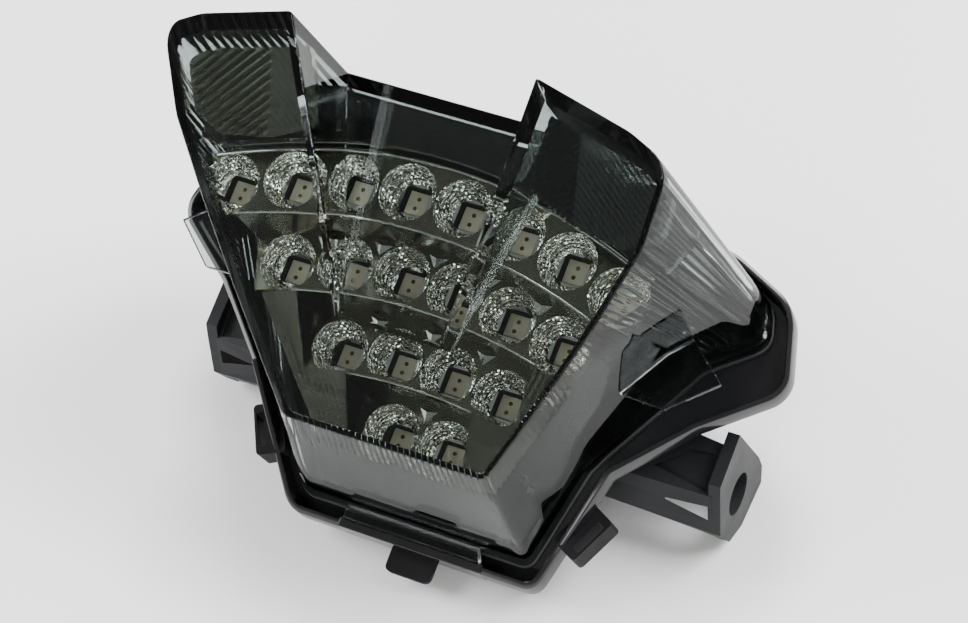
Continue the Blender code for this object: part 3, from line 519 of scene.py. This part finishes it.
# ---- lens ------------------------------------------------------------------------------
def lens_surface(bm, wall, depth, flutes):
    """One skin of the lens: its front, the notch and the wall down to the foot.

    It returns the faces of the front.
    """
    front, foot = column(inset(FACE, wall)), column(inset(FOOT, wall))
    drop = depth * sqrt(1 + FACE_SLOPE ** 2)
    tip = (NOTCH_TIP[0] + wall, NOTCH_TIP[0] - NOTCH_TIP[1] + wall)
    top = (NOTCH_TOP[0] + wall, NOTCH_TOP[1] + wall)
    y_top, y_foot = front[-1][1], foot[-1][1]
    plan = []
    for (a, b), (c, d) in zip(zip(front, foot), zip(front[1:], foot[1:])):
        steps = max(1, ceil((Vector(c) - Vector(a)).length / STEP_ALONG))
        for i in range(steps):
            t = i / steps
            plan.append((Vector(a).lerp(Vector(c), t), Vector(b).lerp(Vector(d), t)))
    plan.append((Vector(front[-1]), Vector(foot[-1])))
    right = [(f.x, f.y, face_z(f.y) - drop, b.x, b.y) for f, b in plan]
    scale = foot[-1][0] / front[-1][0]
    crest_y, crest_foot = y_top, y_foot
    while right[-1][0] < top[0] + 0.0002:
        _, crest_y, _, _, crest_foot = right.pop()
    crest = [(top[0], crest_y, face_z(crest_y) - drop, top[0] * scale, crest_foot),
             (top[1], y_top, panel_z(y_top) - depth * PANEL_WALL_FACTOR, top[1] * scale, y_foot)]
    (xb, yb), (xf, yf) = front[0], foot[0]
    steps = ceil(2 * xb / STEP_ALONG)
    bottom = [(-xb + 2 * xb * i / steps, yb, face_z(yb) - drop,
               -xf + 2 * xf * i / steps, yf) for i in range(1, steps)]
    left = [(-x, y, z, -fx, fy) for x, y, z, fx, fy in reversed(right + crest)]
    ring = right + crest + left + bottom
    n_right = len(right)
    tops = [bm.verts.new((x, y, z)) for x, y, z, _, _ in ring]
    along, total = [0.0], 0.0
    for p, q in zip(ring, ring[1:]):
        total += (Vector(p[:2]) - Vector(q[:2])).length
        along.append(total)
    previous = tops
    count = len(ring)
    for share in FLUTE_RINGS if flutes else [1.0]:
        row = []
        for i, (x, y, z, fx, fy) in enumerate(ring):
            base = Vector((x, y, z)).lerp(Vector((fx, fy, foot_z(fy))), share)
            if flutes and share < 1.0:
                a, b = ring[i - 1], ring[(i + 1) % count]
                along_dir = Vector((b[0] - a[0], b[1] - a[1]))
                if along_dir.length > 1e-6:
                    inward = Vector((-along_dir.y, along_dir.x)).normalized()
                    upper = y > SHOULDER_Y and i < 2 * n_right + 4
                    pitch = LONG_PITCH if upper else FLUTE_PITCH
                    reach = LONG_REACH if upper else FLUTE_REACH
                    fade = max(0.0, min(1.0, (reach - share) / FLUTE_FADE))
                    phase = (along[i] / pitch) % 1.0
                    push = (1.0 - abs(2 * phase - 1.0)) * FLUTE_DEPTH * fade
                    base += Vector((inward.x, inward.y, 0.0)) * push
            row.append(bm.verts.new(base))
        for i in range(count):
            j = (i + 1) % count
            bm.faces.new((previous[i], previous[j], row[j], row[i]))
        previous = row
    z_tip = face_z(TIP_Y) - drop
    tips = [bm.verts.new((x, TIP_Y, z_tip)) for x in (tip[0], tip[1], -tip[1], -tip[0])]
    ridge_r, foot_r = tops[n_right], tops[n_right + 1]
    foot_l, ridge_l = tops[n_right + 2], tops[n_right + 3]
    fronts = [bm.faces.new([*tops[:n_right + 1], *tips, *tops[n_right + 3:]]),
              bm.faces.new([tips[1], foot_r, foot_l, tips[2]]),
              bm.faces.new([tips[0], ridge_r, foot_r, tips[1]]),
              bm.faces.new([tips[3], ridge_l, foot_l, tips[2]])]
    return fronts


def lens_mesh():
    bm = bmesh.new()
    fronts = lens_surface(bm, 0.0, 0.0, False)
    lens_surface(bm, LENS_WALL, LENS_WALL, True)
    rims = [e for e in bm.edges if len(e.link_faces) == 1]
    bmesh.ops.bridge_loops(bm, edges=rims)
    bmesh.ops.recalc_face_normals(bm, faces=bm.faces)
    edges = list({edge for face in fronts for edge in face.edges})
    bmesh.ops.bevel(bm, geom=edges, offset=LENS_ROUND, segments=3, profile=0.5,
                    affect="EDGES", clamp_overlap=True)
    return to_mesh(bm, "lens")


def ring_at(z, depth):
    ring = []
    for (fx, fy), (bx, by) in zip(column(inset(FACE, depth)), column(inset(FOOT, depth))):
        share = (face_z(fy) - z) / (face_z(fy) - foot_z(by))
        ring.append((fx + share * (bx - fx), fy + share * (by - fy)))
    return [(x, y, z) for x, y in ring + mirror_x(ring)]


def lens():
    obj = piece("outer_lens_body", lens_mesh(), LENS, ("outer_lens",), sharp=25)
    for polygon in obj.data.polygons:
        if polygon.area > FLAT_AREA:
            polygon.use_smooth = False
    hollow = loft([ring_at(z, -0.00005) for z in (-0.006, 0.012)])
    for name, side in (("right", 1), ("left", -1)):
        points = [(side * x, y) for x, y in FIN]
        tab = combined(plate(points, FIN_Z - FIN_THICK, FIN_Z), [hollow.copy()], "DIFFERENCE")
        piece(f"lens_side_tab_{name}", tab, LENS, bevel=0.00035)
    low_y, high_y = RIM[0][1] + LIP_WIDTH + 0.0010, FOOT[0][1] + 0.0010
    slab = plate([(-0.0215, low_y), (0.0215, low_y), (0.0205, high_y), (-0.0205, high_y)],
                 -0.0016, 0.0006)
    slab.transform(Matrix.Rotation(atan2(LIP_SLOPE, 1.0), 4, "X"))
    mid = (low_y + FOOT[0][1]) / 2
    centre = sum((v.co for v in slab.vertices), Vector()) / len(slab.vertices)
    slab.transform(Matrix.Translation((0, mid - centre.y, lip(mid) - 0.0012 - centre.z)))
    piece("lens_bottom_lip", slab, LENS, bevel=0.0003)


# ---- housing ---------------------------------------------------------------------------
def housing():
    floor = CHANNEL_DEPTH
    inner = LENS_WALL + 0.0009
    under = floor + 0.0009
    body = [
        loop(inset(BACK, BACK_DRAFT + 0.0012), level(BACK_Z)),
        loop(inset(BACK, BACK_DRAFT + 0.0004), level(BACK_Z + 0.0004)),
        loop(inset(BACK, BACK_DRAFT), level(BACK_Z + 0.0012)),
        loop(BACK, below_lip(floor + CHANNEL_FLOOR)),
        loop(inset(RIM, SKIRT_IN + 0.0020), below_lip(floor + CHANNEL_FLOOR)),
        loop(inset(RIM, SKIRT_IN + 0.0018), below_lip(SKIRT)),
        loop(inset(RIM, SKIRT_IN + 0.0003), below_lip(SKIRT)),
        loop(inset(RIM, SKIRT_IN), below_lip(SKIRT - 0.0004)),
        loop(inset(RIM, 0.0014), below_lip(SKIRT * 0.48)),
        loop(inset(RIM, 0.0010), below_lip(SKIRT * 0.42)),
        loop(inset(RIM, 0.0012), below_lip(SKIRT * 0.40)),
        loop(inset(RIM, LIP_WIDTH + 0.0004), below_lip(under)),
        loop(inset(BACK, BACK_WALL - 0.0003), below_lip(under)),
        loop(inset(BACK, BACK_WALL + BACK_DRAFT), level(BACK_Z + BACK_WALL)),
    ]
    piece("rear_housing_body", loft(body), FLANK, ("rear_housing",), sharp=38)
    channel = [
        loop(inset(RIM, 0.0009), below_lip(SKIRT * 0.41)),
        loop(RIM, below_lip(SKIRT * 0.40)),
        loop(RIM, below_lip(LIP_ROUND)),
        loop(inset(RIM, LIP_ROUND * 0.3), below_lip(LIP_ROUND * 0.3)),
        loop(inset(RIM, LIP_ROUND), lip),
        loop(inset(RIM, LIP_WIDTH - LIP_ROUND * 0.5), lip),
        loop(inset(RIM, LIP_WIDTH), below_lip(LIP_ROUND * 0.5)),
        loop(inset(RIM, LIP_WIDTH + 0.0008), below_lip(floor)),
        loop(inset(FOOT, inner), below_lip(floor)),
        loop(inset(FOOT, inner + 0.0001), below_lip(INNER_WALL_DROP)),
        loop(inset(FOOT, inner + INNER_WALL), below_lip(INNER_WALL_DROP)),
        loop(inset(FOOT, inner + INNER_WALL + 0.0002), below_lip(under)),
        loop(inset(RIM, LIP_WIDTH + 0.0004), below_lip(under)),
    ]
    piece("rear_housing_channel", loft(channel, cap=False), BLACK, sharp=38)
    width, reach, thick = TAB
    edge_y = RIM[0][1]
    top = lip(edge_y) - TAB_DROP
    outline = [(-width / 2, edge_y + 0.0032), (-width / 2, edge_y - reach),
               (width / 2, edge_y - reach), (width / 2, edge_y + 0.0032)]
    tab = plate(rounded_outline(outline, 0.0022), top - thick, top)
    piece("rear_housing_tab", tab, FLANK, bevel=0.0004)
    rail = plate([(-0.0225, -0.0491), (0.0225, -0.0491), (0.0225, -0.0462), (-0.0225, -0.0462)],
                 lip(edge_y) - 0.0075, lip(edge_y) + 0.0012)
    piece("rear_housing_bottom_rail", rail, BLACK, bevel=0.0005, segments=3)
    for name, side in (("right", 1), ("left", -1)):
        piece(f"rear_housing_clip_{name}", clip_loop(side), FLANK, bevel=0.0004)


def clip_loop(side):
    """The small loop beside the rim, open along z."""
    length, reach, height = CLIP
    slot_length, slot = CLIP_SLOT
    (x0, y0, _), (x1, y1, _) = RIM[0], RIM[1]
    share = (CLIP_Y - y0) / (y1 - y0)
    along = Vector((x1 - x0, y1 - y0)).normalized()
    out = Vector((along.y, -along.x))
    base = Vector((x0 + share * (x1 - x0), CLIP_Y))

    def at(a, b):
        point = base + along * a + out * b
        return (side * point.x, point.y)

    top = lip(CLIP_Y) - CLIP_DROP
    middle = reach / 2 + 0.0006

    def box(half, low, high):
        return [at(-half, low), at(-half, high), at(half, high), at(half, low)]

    outer = box(length / 2, -0.0036, reach)
    hole = box(slot_length / 2, middle - slot / 2, middle + slot / 2)
    return plate(rounded_outline(outer, 0.0014), top - height, top, [rounded_outline(hole, 0.0006)])


# ---- reflector -------------------------------------------------------------------------
def row_rim(row):
    return TOP_RIM - ROW_STEP * row


def led_z(row):
    return row_rim(row) - CUP_DEPTH


def led_places(row):
    count = ROWS[row]
    xs = [(i - (count - 1) / 2) * LED_PITCH for i in range(count)]
    return [(x, ROW_Y[row] - ARCH * x * x) for x in xs]


def clamp_inside(x, y, z, margin=0.0006):
    limit = wall_x(y, z) - margin
    return max(-limit, min(limit, x))


def bowl(bm, x0, y0, row, seed):
    """One faceted cup down to the square well round the LED, whose outline it returns."""
    pick = random.Random(seed)
    rim, floor = row_rim(row) - 0.0002, led_z(row) + WELL_DEPTH
    around, down = FACETS
    tilt = [[(pick.uniform(-1, 1), pick.uniform(-1, 1), pick.uniform(0.6, 1.3))
             for _ in range(down)] for _ in range(around)]
    for facet_i in range(around):
        for facet_j in range(down):
            ta, tb, lift = tilt[facet_i][facet_j]
            grid = []
            for b in range(FACET_SPLIT + 1):
                line = []
                for a in range(FACET_SPLIT + 1):
                    u, v = a / FACET_SPLIT, b / FACET_SPLIT
                    angle = 2 * pi * (facet_i + u + 0.5 * (facet_j % 2)) / around
                    share = (facet_j + v) / down
                    radius = BOWL_FLOOR + (MOUTH - BOWL_FLOOR) * share ** BOWL_CURVE
                    height = floor + (rim - floor) * share
                    pillow = (1 - (2 * u - 1) ** 2) * (1 - (2 * v - 1) ** 2) * PILLOW * lift
                    pillow += ((u - 0.5) * ta + (v - 0.5) * tb) * PILLOW_TILT
                    radius -= pillow
                    x = x0 + radius * cos(angle)
                    y = y0 + radius * sin(angle)
                    z = height + pillow * 0.5
                    line.append(bm.verts.new((clamp_inside(x, y, z), y, z)))
                grid.append(line)
            for low, high in zip(grid, grid[1:]):
                for k in range(FACET_SPLIT):
                    bm.faces.new((low[k], low[k + 1], high[k + 1], high[k]))
    # floor round the well
    steps = 32
    reach = BOWL_FLOOR + 0.0002
    outer, inner = [], []
    for i in range(steps):
        angle = 2 * pi * i / steps
        c, s = cos(angle), sin(angle)
        outer.append(bm.verts.new((x0 + reach * c, y0 + reach * s, floor)))
        k = 1 / max(abs(c) / WELL_HALF[0], abs(s) / WELL_HALF[1])
        inner.append((x0 + k * c, y0 + k * s))
    ring = [bm.verts.new((x, y, floor)) for x, y in inner]
    for i in range(steps):
        j = (i + 1) % steps
        bm.faces.new((outer[i], outer[j], ring[j], ring[i]))
    return inner


def well(bm, inner, row):
    """Sides and floor of the square well that the LED sits in; its near-black colour is painted
    shadow.
    """
    top, low = led_z(row) + WELL_DEPTH, led_z(row) - WELL_SINK
    a = [bm.verts.new((x, y, top)) for x, y in inner]
    b = [bm.verts.new((x, y, low)) for x, y in inner]
    for i in range(len(a)):
        j = (i + 1) % len(a)
        bm.faces.new((a[i], a[j], b[j], b[i]))
    bm.faces.new(b)


def trim_solid(margin=INNER_WALL + 0.0013):
    """The room inside the lens, less a margin at its foot."""
    foot = inset(FOOT, LENS_WALL + margin)
    drop = LENS_WALL * sqrt(1 + FACE_SLOPE ** 2) + 0.0008
    front = inset(FACE, LENS_WALL + 0.0007)
    return loft([loop(foot, level(BACK_Z)), loop(foot, lip),
                 loop(front, lambda y: face_z(y) - drop)])


def band(halves, low, high, grow=0.0):
    under, over = halves[0] + grow, halves[1] + grow
    return arch(-under, under, low) + arch(over, -over, high)


def disc(radius, steps, centre):
    return [(centre[0] + radius * cos(2 * pi * i / steps),
             centre[1] + radius * sin(2 * pi * i / steps)) for i in range(steps)]


def wedge(bm, x, row):
    """A little three-sided pyramid between two cups, just under a ledge."""
    top = LEDGE_Y[row] - ARCH * x * x - WEDGE_DROP
    foot = row_rim(row) - WEDGE_SINK
    corners = ((x - WEDGE_HALF, top, foot), (x + WEDGE_HALF, top, foot),
               (x, top - WEDGE_LENGTH, foot))
    base = [bm.verts.new(corner) for corner in corners]
    apex = bm.verts.new((x, top - WEDGE_APEX_DROP, row_rim(row) + WEDGE_RISE))
    bm.faces.new(base)
    for i in range(3):
        bm.faces.new((base[i], base[(i + 1) % 3], apex))


def row_plate(row, trim):
    """The flat front of one row, with a hole for each cup."""
    rim = row_rim(row)
    high = LEDGE_Y[row] + (0.0002 if row else 0.0)
    flat = plate(band(ROW_HALF[row], LEDGE_Y[row + 1], high, 0.0004), rim - SHEET, rim)
    holes = [plate(disc(MOUTH + 0.00005, 56, place), rim - 0.003, rim + 0.003)
             for place in led_places(row)]
    return combined(combined(flat, [trim.copy()], "INTERSECT"), holes, "DIFFERENCE")


def riser(row, trim):
    """The wall down to the next row, and the bright bead on its edge."""
    rim = row_rim(row)
    half, low = ROW_HALF[row + 1][1] + 0.0012, LEDGE_Y[row + 1]
    wall = plate(band((half, half), low, low + WALL), row_rim(row + 1) - SHEET, rim - 0.0004)
    edge = [(clamp_inside(x, y, rim, 0.0012), y + 0.0002, rim + 0.0001)
            for x, y in arch(-half, half, low, 40)]
    return combined(wall, [trim.copy()], "INTERSECT"), tube(edge, LEDGE_BEAD)


def side_plate(side, trim):
    """The sloping fluted plate beside rows 3 and 4."""
    (x0, y0), (x1, y1) = SIDE_EDGE
    plan = [(ROW_HALF[3][0], y0), (x0, y0), (x1, y1)]
    plan += arch(x1 - 0.0004, ROW_HALF[2][1], LEDGE_Y[2], 6)
    plan += arch(ROW_HALF[2][0], ROW_HALF[3][1], LEDGE_Y[3], 8)
    slab = fluted(SIDE_PITCH, SIDE_FLUTE, radians(side * SIDE_HEADING))
    slab = combined(slab, [plate([(side * x, y) for x, y in plan], -0.0012, 0.0009)],
                    "INTERSECT")
    slab.transform(Matrix(((1, 0, 0, 0), (0, 1, 0, 0),
                           (0, SIDE_SLOPE, 1, row_rim(2) + SIDE_RISE), (0, 0, 0, 1))))
    return combined(slab, [trim.copy()], "INTERSECT")


def reflector():
    trim = trim_solid()
    plates, beads, cups, wells = [], [], bmesh.new(), bmesh.new()
    seed = 0
    for row in range(len(ROWS)):
        plates.append(row_plate(row, trim))
        if row < len(ROWS) - 1:
            wall, bead = riser(row, trim)
            plates.append(wall)
            beads.append(bead)
        for x, y in led_places(row):
            seed += 1
            well(wells, bowl(cups, x, y, row, seed), row)
    crown = [(clamp_inside(x, y, TOP_RIM, 0.0014), y - 0.0006, TOP_RIM + 0.0002)
             for x, y in arch(-CROWN_HALF, CROWN_HALF, LEDGE_Y[0], 60)]
    beads.append(tube(crown, CROWN_BEAD))
    side_plates = [side_plate(side, trim) for side in (1, -1)]
    wedges = bmesh.new()
    for row in range(1, len(ROWS)):
        places = led_places(row)
        for (xa, _), (xb, _) in zip(places, places[1:]):
            wedge(wedges, (xa + xb) / 2, row)
    piece("stop_reflector_wedges", to_mesh(wedges, "wedges"), CHROME, sharp=10)
    # the side plates and the steps take the reflector's chrome painted dark, as painted dark
    # reflection
    piece("stop_reflector_sides", joined(side_plates), SIDES_PAINTED_DARK, sharp=20)
    piece("stop_reflector_steps", joined(plates), CHROME_PAINTED_DARK, ("stop_reflector",),
          sharp=30, bevel=0.00022)
    piece("stop_reflector_cups", to_mesh(cups, "cups"), CHROME, sharp=14)
    piece("led_wells", to_mesh(wells, "wells"), WELL_PAINTED_SHADOW, sharp=30)
    piece("stop_reflector_beads", joined(beads), CHROME, sharp=60)


# ---- LEDs ------------------------------------------------------------------------------
def leds():
    width, height, thick = LED_SIZE
    outline = [(-width / 2, -height / 2), (width / 2, -height / 2),
               (width / 2, height / 2), (-width / 2, height / 2)]
    dish = turned([(0, 0.0001), (0.00052, 0.0001), (0.00060, 0.0), (0.00060, -0.0006),
                   (0, -0.0006)], 20)
    for row in range(len(ROWS)):
        top = led_z(row)
        for i, (x, y) in enumerate(led_places(row)):
            name = f"led_row_{row + 1}_{i + 1}"
            base = plate([(x + a, y + b) for a, b in outline], top - thick, top - PACKAGE_SINK)
            piece(f"{name}_package", base, PACKAGE, (name,), bevel=0.00018)
            spots = [moved(dish, Matrix.Translation((x + dx, y + dy, top - 0.0001)))
                     for dx, dy in CHIP_PLACES]
            piece(f"{name}_chips", joined(spots), CHIP, sharp=30)


# ---- bezel and horn panels -------------------------------------------------------------
def bezel():
    edge_y = LEDGE_Y[0] + 0.0003
    lower = [(clamp_inside(x, y, BEZEL_Z, 0.0008), y)
             for x, y in arch(-BEZEL_HALF, BEZEL_HALF, edge_y)]
    upper = [(0.0850, 0.0300), (0.0850, 0.0560), (-0.0850, 0.0560), (-0.0850, 0.0300)]
    top = combined(plate(lower + upper, BEZEL_Z, BEZEL_Z + BEZEL_THICK), [trim_solid(WALL_GAP)],
                   "INTERSECT")
    skirt = plate(band((BEZEL_HALF, BEZEL_HALF), edge_y + 0.0003, edge_y + 0.0018),
                  TOP_RIM + 0.0003, BEZEL_Z + 0.0006)
    wall = plate([(-0.0270, 0.0476), (0.0270, 0.0476), (0.0270, 0.0494), (-0.0270, 0.0494)],
                 -0.0205, BEZEL_Z + 0.0006)
    body = combined(top, [skirt, wall], "UNION")
    piece("inner_bezel_band", body, BEZEL, ("inner_bezel",),
          bevel=0.0004, segments=3)


def fluted(pitch, depth, heading):
    """A slab with ridges along heading, wide enough for one horn."""
    bm = bmesh.new()
    reach = FLUTE_REACH_HALF
    count = int(2 * reach / pitch)
    lines = []
    for i in range(count + 1):
        for share, high in ((0.0, 0.0), (0.35, 0.7), (0.5, 1.0), (0.65, 0.7)):
            lines.append((-reach + (i + share) * pitch, high * depth))
    rows = []
    for end in (-reach, reach):
        rows.append([[bm.verts.new((end, y, z)) for y, z in lines],
                     [bm.verts.new((end, y, -HORN_THICK)) for y, _ in (lines[0], lines[-1])]])
    (ta, ba), (tb, bb) = rows
    for i in range(len(lines) - 1):
        bm.faces.new((ta[i], ta[i + 1], tb[i + 1], tb[i]))
    bm.faces.new((ba[0], ba[1], bb[1], bb[0]))
    bm.faces.new((ta[0], tb[0], bb[0], ba[0]))
    bm.faces.new((ta[-1], tb[-1], bb[1], ba[1]))
    bm.faces.new([*ta, ba[1], ba[0]])
    bm.faces.new([*tb, bb[1], bb[0]])
    mesh = to_mesh(bm, "fluted")
    mesh.transform(Matrix.Rotation(heading, 4, "Z"))
    return mesh


def rounded_outline(points, radius, steps=6):
    """A closed outline with its corners rounded."""
    made = []
    count = len(points)
    for i in range(count):
        a, b, c = (Vector(points[k % count]) for k in (i - 1, i, i + 1))
        to_a, to_c = (a - b).normalized(), (c - b).normalized()
        half = to_a.angle(to_c) / 2
        reach = min(radius / max(1e-6, sin(half) / cos(half)),
                    (a - b).length * 0.45, (c - b).length * 0.45)
        p, q = b + to_a * reach, b + to_c * reach
        for k in range(steps + 1):
            t = k / steps
            made.append(tuple(p * (1 - t) ** 2 + b * 2 * t * (1 - t) + q * t ** 2))
    return made


def horns():
    slope = sqrt(1 + FACE_SLOPE ** 2)
    turn = Matrix.Rotation(atan2(FACE_SLOPE, 1.0), 4, "X")
    lift = Matrix.Translation((0.0, 0.0, FACE_LEVEL - HORN_DROP + 0.0006))
    # the two horns share one finish; the right one is painted shade, the left one painted light
    for name, side, mat in (("right", 1, HORN_RIGHT_PAINTED_SHADE), ("left", -1, HORN_LEFT_PAINTED_LIGHT)):
        pitch, depth = HORN_FLUTES[name]
        outline = rounded_outline([(side * x, y * slope) for x, y in HORN], HORN_CORNER)
        halves = []
        for low, high, heading in ((0.0, HORN_FOLD, HORN_HEADING),
                                   (HORN_FOLD, 0.09, -HORN_HEADING)):
            block = plate(outline, -HORN_THICK + 0.0002, 0.0012)
            window = plate([(side * low, 0.0), (side * high, 0.0),
                            (side * high, 0.1), (side * low, 0.1)], -HORN_THICK, 0.0020)
            ridges = fluted(pitch, depth, radians(side * heading))
            ridges.transform(Matrix.Translation((side * HORN_FOLD, 0.055, 0.0)))
            ridges = combined(ridges, [block], "INTERSECT")
            half = combined(ridges, [window], "INTERSECT")
            half.transform(lift @ turn)
            halves.append(combined(half, [trim_solid(WALL_GAP)], "INTERSECT"))
        piece(f"horn_reflector_{name}_flutes", joined(halves), mat,
              (f"horn_reflector_{name}",), sharp=25)


# ---- fittings kept from the part, with better finishes ---------------------------------
def refinish():
    finishes = {"mount_bracket_right": SATIN, "mount_bracket_left": SATIN, "lens_seal": RUBBER,
                "cable_gland": RUBBER, "breather_vent": VENT}
    finishes.update({f"led_board_row_{i + 1}": MASK for i in range(4)})
    finishes.update({f"reflector_screw_{i + 1}": ZINC for i in range(4)})
    for node, mat in finishes.items():
        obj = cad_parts[node]
        obj.data.materials.clear()
        obj.data.materials.append(mat)
        mod = obj.modifiers.new("edges", "BEVEL")
        mod.width = 0.0005 if node.startswith("mount") else 0.0002
        mod.segments = 2
        mod.limit_method = "ANGLE"
        mod.angle_limit = radians(35)


# ---- studio ----------------------------------------------------------------------------
FLOOR_HALF = 6.0
SOFTBOXES = (("key", (0.95, 0.55, 1.15), 0.8, 42.0), ("fill", (-1.05, -0.25, 0.95), 0.7, 20.0),
             ("front", (0.15, -1.35, 0.65), 0.6, 10.0), ("top", (-0.10, 0.75, 1.35), 0.45, 22.0))
WORLD_COLOUR, WORLD_STRENGTH = (0.80, 0.80, 0.78, 1.0), 0.62
CAMERA_PLACE = (0.296725, -0.338699, 0.744369)
CAMERA_TURN = (32.0790, 9.7964, 24.8417)
CAMERA_LENS, CAMERA_SENSOR = 111.57, 36.0


def studio():
    scene = bpy.context.scene
    bm = bmesh.new()
    reach = FLOOR_HALF
    corners = [bm.verts.new((x, y, 0.0)) for x, y in
               ((-reach, -reach), (reach, -reach), (reach, reach), (-reach, reach))]
    bm.faces.new(corners)
    floor = bpy.data.objects.new("studio_floor", to_mesh(bm, "studio_floor"))
    scene.collection.objects.link(floor)
    mat, tree, bsdf = shader("pale_paper", Roughness=0.85)
    tone = noise_tex(tree, 3.0, 2.0)
    tree.links.new(ramp(tree, tone.outputs["Fac"], [(0.3, grey(0.90)), (0.7, grey(0.92))]),
                   bsdf.inputs["Base Color"])
    floor.data.materials.append(mat)
    for name, place, size, power in SOFTBOXES:
        light = bpy.data.lights.new(name, "AREA")
        light.shape = "SQUARE"
        light.size = size
        light.energy = power
        obj = bpy.data.objects.new(name, light)
        obj.location = place
        aim = Vector((0, 0, 0.05)) - Vector(place)
        obj.rotation_euler = aim.to_track_quat("-Z", "Y").to_euler()
        scene.collection.objects.link(obj)
    world = bpy.data.worlds.new("studio")
    world.use_nodes = True
    background = world.node_tree.nodes["Background"]
    background.inputs["Color"].default_value = WORLD_COLOUR
    background.inputs["Strength"].default_value = WORLD_STRENGTH
    scene.world = world
    data = bpy.data.cameras.new("camera")
    data.lens = CAMERA_LENS
    data.sensor_width = CAMERA_SENSOR
    camera = bpy.data.objects.new("camera", data)
    camera.location = CAMERA_PLACE
    camera.rotation_euler = [radians(angle) for angle in CAMERA_TURN]
    scene.collection.objects.link(camera)
    scene.camera = camera


studio()
lens()
housing()
reflector()
leds()
bezel()
horns()
refinish()
